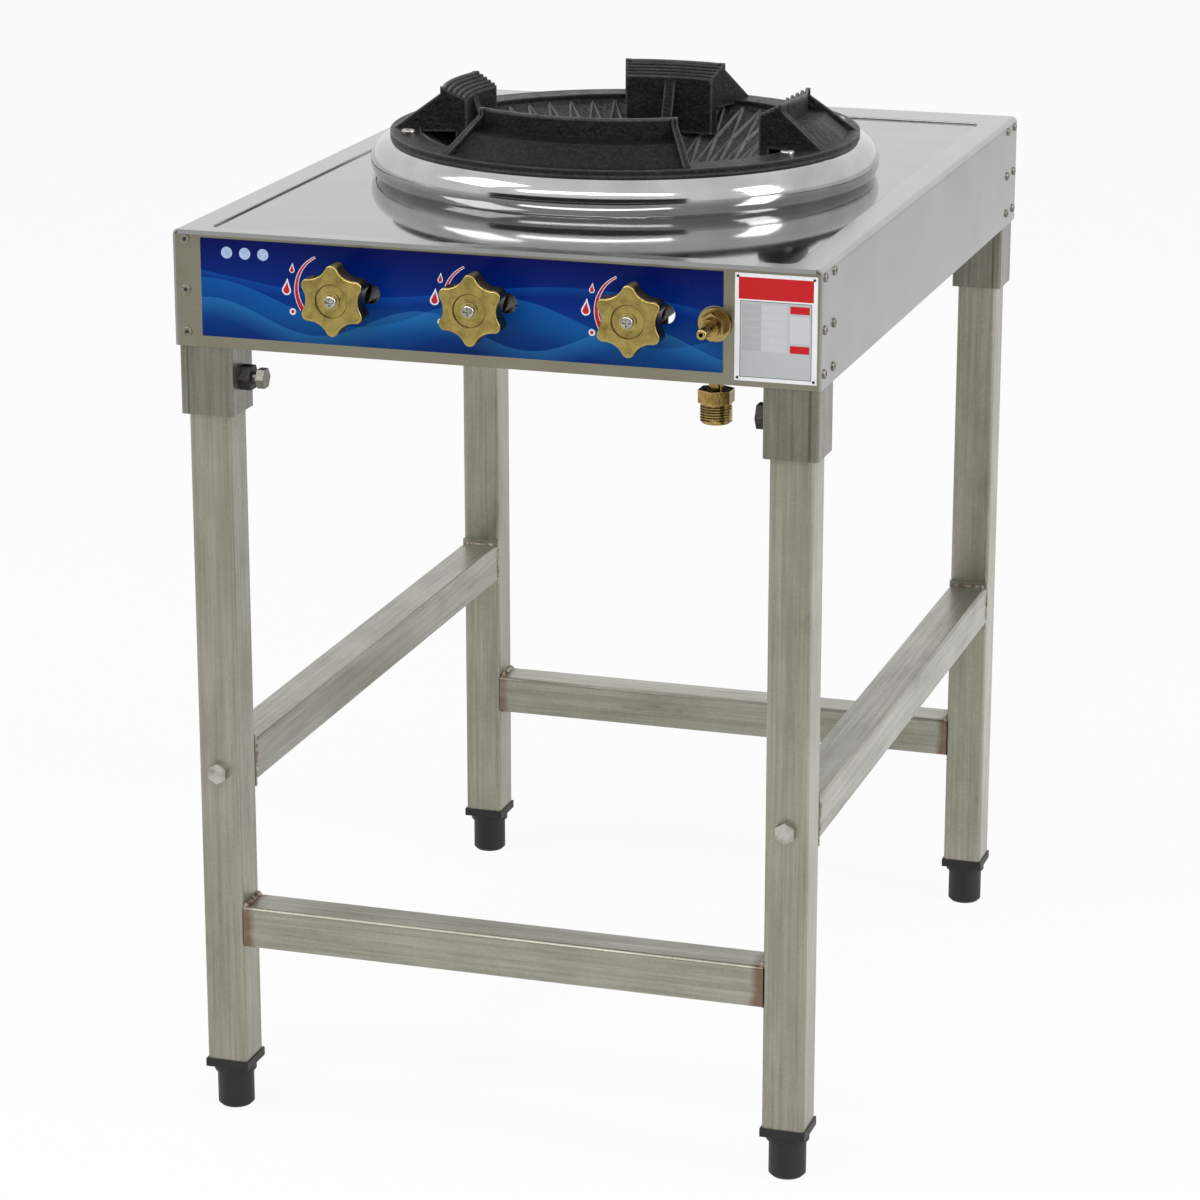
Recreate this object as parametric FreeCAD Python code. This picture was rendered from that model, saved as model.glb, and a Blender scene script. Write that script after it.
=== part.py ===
import FreeCAD, Part
import math
import os

# Wok range: a sheet casing on four square legs with one cast-iron burner.
# Frame: +Z up, +X right, the front with its knobs faces -Y, floor at Z = 0. Sizes in mm.

V = FreeCAD.Vector
X_AXIS = V(1, 0, 0)
Y_AXIS = V(0, 1, 0)
Z_AXIS = V(0, 0, 1)
FULL_TURN = 360.0
HALF_TURN = 180.0
QUARTER_TURN = 90.0
HEX_SIDES = 6
# Least share of an axis in the direction of an edge that runs along it
ALONG = 0.5

# Casing
CASE_W = 450.0
CASE_D = 600.0
CASE_H = 80.0
SHEET = 1.5
BEND_R = 4.0
LIP_DROP = 3.0
RIM_SIDE = 22.0
RIM_FRONT = 12.0
RIM_REAR = 36.0
OPENING_R = 8.0
OPENING_EDGE_R = 1.0
DECK_LAP = 10.0
DECK_UNDER_FOOT = 3.0

# Legs, sockets and feet
LEG = 30.0
LEG_WALL = 1.5
LEG_R = 2.5
SOCKET = 38.0
SOCKET_DROP = 48.0
FOOT_H = 38.0
FOOT_FLANGE = 32.0
FOOT_FLANGE_T = 6.0
FOOT_PEG_R = 13.0
FOOT_SHOULDER_R = 15.0
FOOT_SHOULDER_H = 5.0
FOOT_CHAMFER = 2.0
FOOT_PLUG = 26.4
FOOT_PLUG_H = 22.0
LEG_VISIBLE = 602.0

# Rails
SIDE_RAIL_MID = 217.0
CROSS_RAIL_LOW = 88.0
END_PLATE_T = 2.5
END_PLATE_OVER = 4.0

# Hex fasteners
M8_R = 4.0
M8_AF = 13.0
M8_HEAD_H = 5.3
M8_NUT_H = 6.5
HOLE_GAP = 0.2
CLAMP_NUT_H = 8.0
CLAMP_NUT_AF = 16.0
CLAMP_NECK = 4.0
CLAMP_UP = 24.0
SET_SCREW_KEY_AF = 4.0
SET_SCREW_KEY_L = 5.0
M6_R = 3.0
M6_AF = 10.0
M6_HEAD_H = 4.0

# Rivets
RIVET_R = 1.6
RIVET_HEAD_R = 3.2
RIVET_HEAD_H = 1.2
RIVET_TAIL = 1.5
RIVET_HOLLOW_R = 1.3
RIVET_HOLLOW_DEEP = 0.8
RIVET_ROWS = (6.5, 41.0, 70.0)
FRONT_RIVET_IN = 8.7
SIDE_RIVET_IN = (8.0, 31.0)

# Front controls: handwheels from the middle, down from the rim; plates from the left or right edge
KNOB_X = (-100.0, -4.0, 104.0)
KNOB_DOWN = 35.5
KNOB_REACH = 31.5
KNOB_R = 24.0
KNOB_T = 15.0
LOBE_R = 4.5
LOBES = 6
VALLEY_DEEP = 5.4
KNOB_EDGE_R = 1.5
KNOB_RING_IN = 5.5
KNOB_RING_OUT = 11.5
KNOB_RING_SLOPE = 0.8
KNOB_RING_H = 1.2
KNOB_HUB_R = 8.0
KNOB_HUB_L = 6.0
KNOB_WEB = 5.0
KNOB_SCREW_R = 2.0
KNOB_SCREW_HEAD_R = 4.2
KNOB_SCREW_HEAD_H = 3.0
KNOB_SCREW_IN = 14.0
KNOB_SCREW_CROSS = 1.4
KNOB_SCREW_CROSS_L = 6.0
KNOB_SCREW_CROSS_DEEP = 1.6
SLOT_L = 46.0
SLOT_H = 14.0
FASCIA_FROM_LEFT = 20.0
FASCIA_FROM_RIGHT = 66.0
FASCIA_UP = 8.0
PLATE_FROM_RIGHT = (58.0, 3.0)
PLATE_UP = 4.0
LABEL_T = 0.8
LABEL_DOWN = 5.0

# Valves and gas pipes
SPINDLE_R = 4.0
RUN_GAP = 0.05
SPINDLE_DEPTH = 32.0
VALVE_R = 13.0
VALVE_START = 10.0
VALVE_END = 44.0
VALVE_NECK_R = 9.0
VALVE_NECK_BORE = 4.0
GLAND_AF = 18.0
GLAND_START = 4.0
OUT_DROP = 4.5
OUT_BORE = 2.0
MANIFOLD_R = 11.0
MANIFOLD_WALL = 2.5
MANIFOLD_BACK = 30.0
MANIFOLD_DOWN = 65.5
MANIFOLD_PAST_KNOB = 18.0
MANIFOLD_FROM_RIGHT = 62.0
BOSS_H = 4.0
BRACKET_PAST_KNOB = 50.0
BRACKET_W = 16.0
BRACKET_EDGE = 2.0
INLET_FROM_RIGHT = 86.0
INLET_BACK = 26.0
INLET_STUB_R = 5.0
INLET_HEX_AF = 22.0
INLET_HEX_H = 9.0
INLET_THREAD_R = 10.45
INLET_THREAD_L = 14.0
INLET_BELOW = 40.0
INLET_BORE = 7.0
INLET_BORE_L = 18.0
INLET_CHAMFER = 1.2
PASSAGE_R = 3.0
JET_AF = 12.0
JET_HEX_L = 10.0
JET_L = 18.0
JET_TIP_R = 3.0
JET_BASE_R = 5.0
JET_BORE = 0.9
TORCH_FROM_RIGHT = 71.0
TORCH_FLANGE_R = 10.8
TORCH_FLANGE_T = 2.5
TORCH_HEX_AF = 16.0
TORCH_HEX_L = 9.0
TORCH_COLLAR_R = 6.0
TORCH_COLLAR_L = 5.0
TORCH_TIP_R = 3.0
TORCH_TIP_L = 11.0
TORCH_BULB_R = 3.6
TORCH_BULB_L = 7.0
TORCH_BULB_EDGE = 1.5
TORCH_SHANK_R = 6.0
TORCH_SHANK_L = 20.0
TORCH_BORE = 1.5
TORCH_TUBE_R = 4.0
TORCH_TUBE_WALL = 1.0
TORCH_TUBE_RUN = 12.0

# Mixing tubes and air shutters
TUBE_R = 18.0
TUBE_WALL = 3.0
TUBE_START = 75.0
TUBE_END = 112.0
STOP_R = 20.0
STOP_T = 2.7
SHUTTER_GAP = 0.3
SHUTTER_L = 20.0
SHUTTER_WALL = 2.0
WINDOWS = 3
WINDOW_DEG = 55.0
WINDOW_L = 12.0
SHUTTER_TAB_W = 8.0
SHUTTER_TAB_H = 8.0
SHUTTER_TAB_T = 3.0

# Burner, heights above (+) or below (-) the rim
POT_FLANGE_R = 169.0
POT_FLANGE_W = 22.0
POT_FLANGE_TOP = 30.0
POT_FLANGE_T = 5.0
LUG_PLACES = ((0.0, 17.0), (90.0, 17.0), (180.0, 17.0), (270.0, 33.0))
LUG_WALL_DEG = 1.9
LUG_FOOT_IN = 3.0
LUG_TOP_IN = 36.0
LUG_EDGE_Z = 54.0
LUG_TOP_Z = 59.0
LUG_FACE_IN = 55.0
LUG_IN_Z = 50.0
LUG_IN_LOW = 8.0
LUG_IN_T = 8.0
LUG_POCKET = ((9.0, 30.0), (25.0, 43.0), (37.5, 45.0))
LUG_ROOT = 3.0
GROOVES = 5
GROOVE_DEEP = 1.4
LUG_RIB_REACH = 13.0
LUG_RIB_T = 8.0
POT_SCREW_IN = 12.0
POT_SCREW_DEG = 27.0
POT_SCREW_R = 2.5
POT_SCREW_HEAD_R = 5.0
POT_SCREW_HEAD_H = 3.4
POT_SCREW_L = 14.0
POT_SCREW_CROSS = 1.4
POT_SCREW_CROSS_L = 6.0
POT_SCREW_CROSS_DEEP = 1.6
RING_T = 1.0
RING_SEAT_W = 18.0
RING_BULGE_OUT = 14.0
RING_BULGE_Z = 12.0
RING_FOOT_OUT = 10.0
RING_FOOT_W = 9.0
BOWL_T = 4.0
BOWL_LIP_IN = 7.0
BOWL_FLOOR_R = 96.0
BOWL_HOLE_R = 60.0
BOWL_RIDGES = 3
BOWL_RIDGE_H = 2.0
BASE_R = 150.0
BASE_PLATE_T = 8.0
BASE_DOWN = 20.0
CHAMBER_R = 124.0
CHAMBER_WALL = 10.0
CHAMBER_FLOOR = 6.0
CHAMBER_LOW = 62.0
TUBE_BOSS_R = 19.0
TUBE_BOSS_L = 140.0
TUBE_BORE_L = 136.0
HEAD_FLANGE_R = 56.0
HEAD_FLANGE_T = 5.0
HEAD_SPIGOT_R = 47.0
HEAD_SPIGOT_L = 7.0
HEAD_NECK_R = 42.0
HEAD_TOP = -2.0
HEAD_WALL = 5.0
PORTS = 24
PORT_W = 3.0
PORT_H = 6.0
CAP_R = 46.0
CAP_T = 5.0
CAP_DOME = 4.0
CAP_FLAT_R = 24.0
CAP_SPIGOT_L = 3.0
BEAM_Y = 85.0
BEAM_W = 25.0
BEAM_H = 15.0
BEAM_T = 2.0
BASE_BOLT_X = 60.0
BASE_BOLT_IN = 5.0

# Positions that follow
RIM_Z = FOOT_H + LEG_VISIBLE
CASE_BOTTOM = RIM_Z - CASE_H
HALF_W = CASE_W / 2
TORCH_REACH = TORCH_FLANGE_T + TORCH_HEX_L + TORCH_COLLAR_L + TORCH_TIP_L + TORCH_BULB_L
REACH = max(KNOB_REACH + KNOB_SCREW_HEAD_H, TORCH_REACH)
FRONT = (REACH - CASE_D - SHEET) / 2
REAR = FRONT + CASE_D
BURNER_Y = (FRONT + REAR) / 2
DECK_TOP = -SHEET
DECK_UNDER = RIM_Z - 2 * SHEET
SOCKET_LOW = CASE_BOTTOM - SOCKET_DROP
SOCKET_TOP = RIM_Z - BEND_R
SOCKET_MID_X = HALF_W - SHEET - SOCKET / 2
SOCKET_MID_Y = CASE_D / 2 - SHEET - SOCKET / 2
LEG_BACK_Y = SOCKET_MID_Y - LEG / 2
LEG_BACK_X = SOCKET_MID_X - LEG / 2
SIDE_RAIL_Z = FOOT_H + SIDE_RAIL_MID
CROSS_RAIL_Z = FOOT_H + CROSS_RAIL_LOW + LEG / 2
VALVE_Z = RIM_Z - KNOB_DOWN
VALLEY_R = KNOB_R - VALLEY_DEEP
OUT_Z = VALVE_Z - OUT_DROP
MANIFOLD_Y = FRONT + MANIFOLD_BACK
MANIFOLD_Z = RIM_Z - MANIFOLD_DOWN
BOSS_TOP = MANIFOLD_Z + MANIFOLD_R + BOSS_H
BASE_BOTTOM = RIM_Z - CHAMBER_LOW
POT_UNDER = POT_FLANGE_TOP - POT_FLANGE_T
POT_FLANGE_IN = POT_FLANGE_R - POT_FLANGE_W
POT_SCREW_PCR = POT_FLANGE_R - POT_SCREW_IN
LUG_FOOT_R = POT_FLANGE_R - LUG_FOOT_IN
LUG_TOP_R = POT_FLANGE_R - LUG_TOP_IN
LUG_IN_R = POT_FLANGE_R - LUG_FACE_IN
LUG_RIB_R = LUG_IN_R - LUG_RIB_REACH
LUG_BACK = [(POT_FLANGE_R - inward, z) for inward, z in LUG_POCKET]
RING_IN = POT_FLANGE_R - RING_SEAT_W
RING_BULGE_R = POT_FLANGE_R + RING_BULGE_OUT
RING_FOOT_R = POT_FLANGE_R + RING_FOOT_OUT
RING_FOOT_IN = RING_FOOT_R - RING_FOOT_W
DECK_HOLE_R = RING_FOOT_IN - DECK_UNDER_FOOT
BOWL_TOP_R = POT_FLANGE_IN
BOWL_LIP_R = POT_FLANGE_R - BOWL_LIP_IN
CORNERS = {"front_left": (-1, -1), "front_right": (1, -1), "rear_left": (-1, 1), "rear_right": (1, 1)}
SET_SCREW_CORNER = "front_right"
SIDES = {"left": -1, "right": 1}


def from_left(x):
    return x - HALF_W


def from_right(x):
    return HALF_W - x


def block(x0, x1, y0, y1, z0, z1):
    return Part.makeBox(x1 - x0, y1 - y0, z1 - z0, V(x0, y0, z0))


def rod(start, axis, radius, length):
    return Part.makeCylinder(radius, length, start, axis)


def runs_along(edge, axis):
    return abs(edge.tangentAt(0).dot(axis)) > ALONG


def hexagon(start, axis, across_flats, length):
    step = math.radians(FULL_TURN / HEX_SIDES)
    corner = across_flats / 2 / math.cos(step / 2)
    angles = [step * i + step / 2 for i in range(HEX_SIDES + 1)]
    ring = Part.makePolygon([V(corner * math.cos(a), corner * math.sin(a), 0) for a in angles])
    prism = Part.Face(Part.Wire(ring)).extrude(V(0, 0, length))
    prism.Placement = FreeCAD.Placement(start, FreeCAD.Rotation(Z_AXIS, axis))
    return prism


def square_tube(size, wall, radius, length):
    """Upright square tube on the origin, centred in X and Y."""
    def bar(side, corner):
        solid = block(-side / 2, side / 2, -side / 2, side / 2, 0, length)
        upright = [e for e in solid.Edges if runs_along(e, Z_AXIS)]
        return solid.makeFillet(corner, upright)
    return bar(size, radius).cut(bar(size - 2 * wall, radius - wall))


def lay(shape, x, y, z, axis=Z_AXIS):
    """Put a shape built up +Z on the origin at x, y, z, pointing along axis."""
    shape.Placement = FreeCAD.Placement(V(x, y, z), FreeCAD.Rotation(Z_AXIS, axis))
    return shape


def spun(edges, angle=FULL_TURN, start=0.0):
    """Turn a closed profile of radius and height over the rim about the burner axis."""
    face = Part.Face(Part.Wire(edges))
    face.translate(V(0, BURNER_Y, RIM_Z))
    solid = face.revolve(V(0, BURNER_Y, RIM_Z), Z_AXIS, angle)
    solid.rotate(V(0, BURNER_Y, RIM_Z), Z_AXIS, start)
    return solid


def flat(points):
    corners = [V(r, 0, z) for r, z in points]
    return Part.makePolygon(corners + corners[:1]).Edges


def bend(a, middle, b):
    return Part.Arc(V(a[0], 0, a[1]), V(middle[0], 0, middle[1]), V(b[0], 0, b[1])).toShape()


def line(a, b):
    return Part.makeLine(V(a[0], 0, a[1]), V(b[0], 0, b[1]))


def lobed_outline(x, y):
    """Handwheel outline at y: outward lobes joined by tangent inward valleys."""
    half = math.pi / LOBES
    out = KNOB_R - LOBE_R
    valley = (out ** 2 + VALLEY_R ** 2 - 2 * out * VALLEY_R * math.cos(half) - LOBE_R ** 2) / (
        2 * (LOBE_R - VALLEY_R + out * math.cos(half)))

    def at(radius, angle):
        return V(x + radius * math.cos(angle), y, VALVE_Z + radius * math.sin(angle))

    arcs = []
    for i in range(LOBES):
        a = math.pi / 2 + 2 * half * i
        lobe = at(out, a)
        before = lobe + (at(VALLEY_R + valley, a - half) - lobe).normalize() * LOBE_R
        after = lobe + (at(VALLEY_R + valley, a + half) - lobe).normalize() * LOBE_R
        next_lobe = at(out, a + 2 * half)
        next_before = next_lobe + (at(VALLEY_R + valley, a + half) - next_lobe).normalize() * LOBE_R
        arcs.append(Part.Arc(before, at(KNOB_R, a), after).toShape())
        arcs.append(Part.Arc(after, at(VALLEY_R, a + half), next_before).toShape())
    return Part.Wire(arcs)


def save(name, solids):
    group = solids if isinstance(solids, list) else [solids]
    single = [s for shape in group for s in shape.Solids]
    shape = single[0] if len(single) == 1 else Part.makeCompound(single)
    shape.exportStep("parts/" + name + ".step")
    print(name, len(single), all(s.isValid() for s in single))


def rivet(point, axis, grip):
    """Blind rivet: head with a hollow middle outside the face at point, shank along axis."""
    head = rod(point - axis * RIVET_HEAD_H, axis, RIVET_HEAD_R, RIVET_HEAD_H)
    rim = [e for e in head.Edges if e.Closed and (e.CenterOfMass - point).dot(axis) < -RIVET_HEAD_H / 2]
    head = head.makeFillet(RIVET_HEAD_H / 2, rim)
    hollow = rod(point - axis * RIVET_HEAD_H, axis, RIVET_HOLLOW_R, RIVET_HOLLOW_DEEP)
    return head.fuse(rod(point, axis, RIVET_R, grip + RIVET_TAIL)).cut(hollow)


def rivet_hole(point, axis):
    return rod(point - axis * SHEET, axis, RIVET_R + HOLE_GAP, 4 * SHEET)


def rounded_block(half_x, y0, y1, z0, z1):
    solid = block(-half_x, half_x, y0, y1, z0, z1)
    return solid.makeFillet(OPENING_R, [e for e in solid.Edges if runs_along(e, Z_AXIS)])


os.makedirs("parts", exist_ok=True)

# Rivet places: outer point, inward axis
front_points = [V(from_left(FRONT_RIVET_IN), FRONT, RIM_Z - d) for d in RIVET_ROWS]
rear_points = [V(s * from_left(FRONT_RIVET_IN), REAR, RIM_Z - d) for s in (1, -1) for d in RIVET_ROWS]
side_points = [(V(s * HALF_W, y, RIM_Z - d), V(-s, 0, 0))
               for s in (-1, 1) for d in RIVET_ROWS for i in SIDE_RIVET_IN for y in (FRONT + i, REAR - i)]
panel_points = [(p, Y_AXIS) for p in front_points] + [(p, -Y_AXIS) for p in rear_points]
save("panel_rivets", [rivet(p, a, 2 * SHEET) for p, a in panel_points])
save("side_rivets", [rivet(p, a, 2 * SHEET) for p, a in side_points])
rivet_holes = Part.makeCompound([rivet_hole(p, a) for p, a in panel_points + side_points])

# Casing cover: top and both sides bent from one sheet, with a lip at front and rear
outer = block(-HALF_W, HALF_W, FRONT, REAR, CASE_BOTTOM, RIM_Z)
shoulder = [e for e in outer.Edges if runs_along(e, Y_AXIS) and e.CenterOfMass.z > RIM_Z - SHEET]
outer = outer.makeFillet(BEND_R, shoulder)
inner = block(-HALF_W + SHEET, HALF_W - SHEET, FRONT, REAR, CASE_BOTTOM, RIM_Z - SHEET)
shoulder = [e for e in inner.Edges if runs_along(e, Y_AXIS) and e.CenterOfMass.z > RIM_Z - 2 * SHEET]
inner = inner.makeFillet(BEND_R - SHEET, shoulder)
cover = outer.cut(inner)
for y in (FRONT - SHEET, REAR):
    cover = cover.fuse(block(-HALF_W + BEND_R, HALF_W - BEND_R, y, y + SHEET, RIM_Z - LIP_DROP, RIM_Z))
open_x = HALF_W - RIM_SIDE
open_y0 = FRONT + RIM_FRONT
open_y1 = REAR - RIM_REAR
opening = rounded_block(open_x, open_y0, open_y1, RIM_Z - 2 * SHEET, RIM_Z + SHEET)
cover = cover.cut(opening).removeSplitter()
brink = [e for e in cover.Edges if all(abs(v.Z - RIM_Z) < HOLE_GAP and abs(v.X) < open_x + HOLE_GAP and
                                       open_y0 - HOLE_GAP < v.Y < open_y1 + HOLE_GAP for v in e.Vertexes)]
cover = cover.makeFillet(OPENING_EDGE_R, brink)
save("casing_cover", cover.cut(rivet_holes))

# Polished deck plate, lapped under the edge of the cover's opening
deck = block(-open_x - DECK_LAP, open_x + DECK_LAP, open_y0 - DECK_LAP, open_y1 + DECK_LAP,
             DECK_UNDER, RIM_Z - SHEET)
save("deck_plate", deck.cut(rod(V(0, BURNER_Y, DECK_UNDER - SHEET), Z_AXIS, DECK_HOLE_R, 3 * SHEET)))

# Front and rear panels, fascia and rating plate
def casing_panel(y):
    """Flat panel whose top corners are cut off to clear the inside of the cover's bends."""
    sheet = block(-HALF_W + SHEET, HALF_W - SHEET, y, y + SHEET, CASE_BOTTOM, RIM_Z - SHEET)
    top = [e for e in sheet.Edges if runs_along(e, Y_AXIS) and e.CenterOfMass.z > RIM_Z - 2 * SHEET]
    return sheet.makeChamfer(BEND_R - SHEET, top)


slots = []
for x in KNOB_X:
    half = (SLOT_L - SLOT_H) / 2
    slot = block(x - half, x + half, FRONT - SHEET, FRONT + 2 * SHEET,
                 VALVE_Z - SLOT_H / 2, VALVE_Z + SLOT_H / 2)
    for end in (-half, half):
        slot = slot.fuse(rod(V(x + end, FRONT - SHEET, VALVE_Z), Y_AXIS, SLOT_H / 2, 3 * SHEET))
    slots.append(slot)
torch_front = V(from_right(TORCH_FROM_RIGHT), FRONT - SHEET, OUT_Z)
torch_hole = rod(torch_front, Y_AXIS, TORCH_SHANK_R + HOLE_GAP, 3 * SHEET)
save("front_panel", casing_panel(FRONT).cut(Part.makeCompound(slots + [torch_hole])).cut(rivet_holes))
save("rear_panel", casing_panel(REAR - SHEET).cut(rivet_holes))
fascia = block(from_left(FASCIA_FROM_LEFT), from_right(FASCIA_FROM_RIGHT), FRONT - LABEL_T, FRONT,
               CASE_BOTTOM + FASCIA_UP, RIM_Z - LABEL_DOWN)
torch_bite = rod(torch_front, Y_AXIS, TORCH_FLANGE_R + SHEET, 3 * SHEET)
save("control_fascia", fascia.cut(Part.makeCompound(slots + [torch_bite])))
plate_start, plate_end = (from_right(x) for x in PLATE_FROM_RIGHT)
save("rating_plate", block(plate_start, plate_end, FRONT - LABEL_T, FRONT,
                           CASE_BOTTOM + PLATE_UP, RIM_Z - LABEL_DOWN))

# Sockets, clamp nuts and bolts, legs and feet, one set in each corner
clamp_z = SOCKET_LOW + CLAMP_UP
clamp_nuts = []
clamp_bolts = []
side_rail_bolts = []
side_rail_nuts = []
for name, (sx, sy) in CORNERS.items():
    cx = sx * SOCKET_MID_X
    cy = BURNER_Y + sy * SOCKET_MID_Y
    inward = V(-sx, 0, 0)
    forward = V(0, -sy, 0)
    face = V(cx - sx * SOCKET / 2, cy, clamp_z)
    socket = lay(square_tube(SOCKET, LEG_WALL, LEG_R, SOCKET_TOP - SOCKET_LOW), cx, cy, SOCKET_LOW)
    socket = socket.cut(rod(face - inward * SHEET * 2, inward, M8_R + HOLE_GAP, SHEET * 4)).cut(rivet_holes)
    save("leg_socket_" + name, socket)
    nut = hexagon(face, inward, CLAMP_NUT_AF, CLAMP_NUT_H)
    clamp_nuts.append(nut.cut(rod(face, inward, M8_R + HOLE_GAP, CLAMP_NUT_H)))
    tip = V(sx * LEG_BACK_X, cy, clamp_z)
    grip = SOCKET_MID_X - SOCKET / 2
    shank = LEG_BACK_X - grip + CLAMP_NUT_H
    if name == SET_SCREW_CORNER:
        end = tip + inward * shank
        key = hexagon(end, -inward, SET_SCREW_KEY_AF, SET_SCREW_KEY_L)
        save("clamp_set_screw", rod(tip, inward, M8_R, shank).cut(key))
    else:
        under_head = shank + CLAMP_NECK
        bolt = rod(tip, inward, M8_R, under_head)
        clamp_bolts.append(bolt.fuse(hexagon(tip + inward * under_head, inward, M8_AF, M8_HEAD_H)))

    leg = lay(square_tube(LEG, LEG_WALL, LEG_R, DECK_UNDER - FOOT_H), cx, cy, FOOT_H)
    rail_face = V(cx, cy + sy * LEG / 2, SIDE_RAIL_Z)
    save("leg_" + name, leg.cut(rod(rail_face, forward, M8_R + HOLE_GAP, LEG)))
    reach = LEG + END_PLATE_T + M8_NUT_H
    bolt = hexagon(rail_face - forward * M8_HEAD_H, forward, M8_AF, M8_HEAD_H)
    side_rail_bolts.append(bolt.fuse(rod(rail_face, forward, M8_R, reach)))
    seat = rail_face + forward * (LEG + END_PLATE_T)
    nut = hexagon(seat, forward, M8_AF, M8_NUT_H)
    side_rail_nuts.append(nut.cut(rod(seat, forward, M8_R + HOLE_GAP, M8_NUT_H)))

    peg = rod(V(cx, cy, 0), Z_AXIS, FOOT_PEG_R, FOOT_H - FOOT_FLANGE_T)
    sole = [e for e in peg.Edges if e.Closed and e.CenterOfMass.z < FOOT_CHAMFER]
    peg = peg.makeChamfer(FOOT_CHAMFER, sole)
    low = FOOT_H - FOOT_FLANGE_T
    foot = peg.fuse(rod(V(cx, cy, low - FOOT_SHOULDER_H), Z_AXIS, FOOT_SHOULDER_R, FOOT_SHOULDER_H))
    half = FOOT_FLANGE / 2
    foot = foot.fuse(block(cx - half, cx + half, cy - half, cy + half, low, FOOT_H))
    half = FOOT_PLUG / 2
    foot = foot.fuse(block(cx - half, cx + half, cy - half, cy + half, FOOT_H, FOOT_H + FOOT_PLUG_H))
    save("foot_" + name, foot)
save("clamp_nuts", clamp_nuts)
save("clamp_bolts", clamp_bolts)
save("side_rail_bolts", side_rail_bolts)
save("side_rail_nuts", side_rail_nuts)

# Side rails with welded end plates, cross rails welded between the legs
for name, sx in SIDES.items():
    x = sx * SOCKET_MID_X
    length = 2 * (LEG_BACK_Y - END_PLATE_T)
    rail = lay(square_tube(LEG, LEG_WALL, LEG_R, length), x, BURNER_Y - length / 2, SIDE_RAIL_Z, Y_AXIS)
    half = LEG / 2
    for y in (BURNER_Y - LEG_BACK_Y, BURNER_Y + LEG_BACK_Y - END_PLATE_T):
        plate = block(x - half, x + half, y, y + END_PLATE_T,
                      SIDE_RAIL_Z - half - END_PLATE_OVER, SIDE_RAIL_Z + half + END_PLATE_OVER)
        rail = rail.fuse(plate)
    axis_hole = rod(V(x, BURNER_Y - CASE_D, SIDE_RAIL_Z), Y_AXIS, M8_R + HOLE_GAP, 2 * CASE_D)
    save("side_rail_" + name, rail.cut(axis_hole))
for name, sy in (("front", -1), ("rear", 1)):
    rail = square_tube(LEG, LEG_WALL, LEG_R, 2 * LEG_BACK_X)
    save("cross_rail_" + name, lay(rail, -LEG_BACK_X, BURNER_Y + sy * SOCKET_MID_Y, CROSS_RAIL_Z, X_AXIS))

# Pot support: flange and four hollow-fronted lugs
support = spun(flat([(POT_FLANGE_IN, POT_UNDER), (POT_FLANGE_R, POT_UNDER),
                     (POT_FLANGE_R, POT_FLANGE_TOP), (POT_FLANGE_IN, POT_FLANGE_TOP)]))
ridges = []
crest = LUG_BACK[-1][0]
pitch = (crest - LUG_IN_R) / GROOVES
fall = (LUG_TOP_Z - LUG_IN_Z) / GROOVES
for i in range(GROOVES):
    r = crest - i * pitch
    z = LUG_TOP_Z - i * fall
    ridges += [(r, z), (r - pitch / 2, z), (r - pitch * 3 / 4, z - fall - GROOVE_DEEP)]
root = POT_FLANGE_TOP - LUG_ROOT
wall_in = LUG_IN_R + LUG_IN_T
lug_side = [(LUG_FOOT_R, root), (LUG_FOOT_R, POT_FLANGE_TOP), (LUG_TOP_R, LUG_EDGE_Z)]
lug_side += [(LUG_TOP_R, LUG_TOP_Z)] + ridges + [(LUG_IN_R, LUG_IN_Z), (LUG_IN_R, LUG_IN_LOW)]
lug_side += [(wall_in, LUG_IN_LOW), (wall_in, root)]
pocket = [(LUG_BACK[0][0], POT_UNDER)] + LUG_BACK
pocket += [(crest, LUG_TOP_Z + LUG_ROOT), (POT_FLANGE_R, LUG_TOP_Z + LUG_ROOT), (POT_FLANGE_R, POT_UNDER)]
rib = Part.Face(Part.Wire(flat([(wall_in, LUG_IN_LOW + LUG_ROOT), (wall_in, LUG_IN_Z - LUG_ROOT),
                                (LUG_IN_R, LUG_IN_Z - LUG_ROOT), (LUG_RIB_R, LUG_IN_LOW + LUG_ROOT)])))
rib.translate(V(0, BURNER_Y - LUG_RIB_T / 2, RIM_Z))
rib = rib.extrude(Y_AXIS * LUG_RIB_T)
cast_on = []
for turn, half in LUG_PLACES:
    lug = spun(flat(lug_side), 2 * half, turn - half)
    inside = half - LUG_WALL_DEG
    turned = rib.copy()
    turned.rotate(V(0, BURNER_Y, RIM_Z), Z_AXIS, turn)
    cast_on += [lug.cut(spun(flat(pocket), 2 * inside, turn - inside)), turned]
support = support.fuse(cast_on)
screw_places = []
for a in (POT_SCREW_DEG, HALF_TURN - POT_SCREW_DEG, HALF_TURN + POT_SCREW_DEG, -POT_SCREW_DEG):
    screw_places.append(V(POT_SCREW_PCR * math.cos(math.radians(a)),
                          BURNER_Y + POT_SCREW_PCR * math.sin(math.radians(a)), RIM_Z + POT_FLANGE_TOP))
screw_holes = Part.makeCompound([
    rod(p - Z_AXIS * (POT_SCREW_L + BOWL_T), Z_AXIS, POT_SCREW_R + HOLE_GAP, POT_SCREW_L + 2 * BOWL_T)
    for p in screw_places])
save("pot_support", support.cut(screw_holes).removeSplitter())
pot_screws = []
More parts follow.
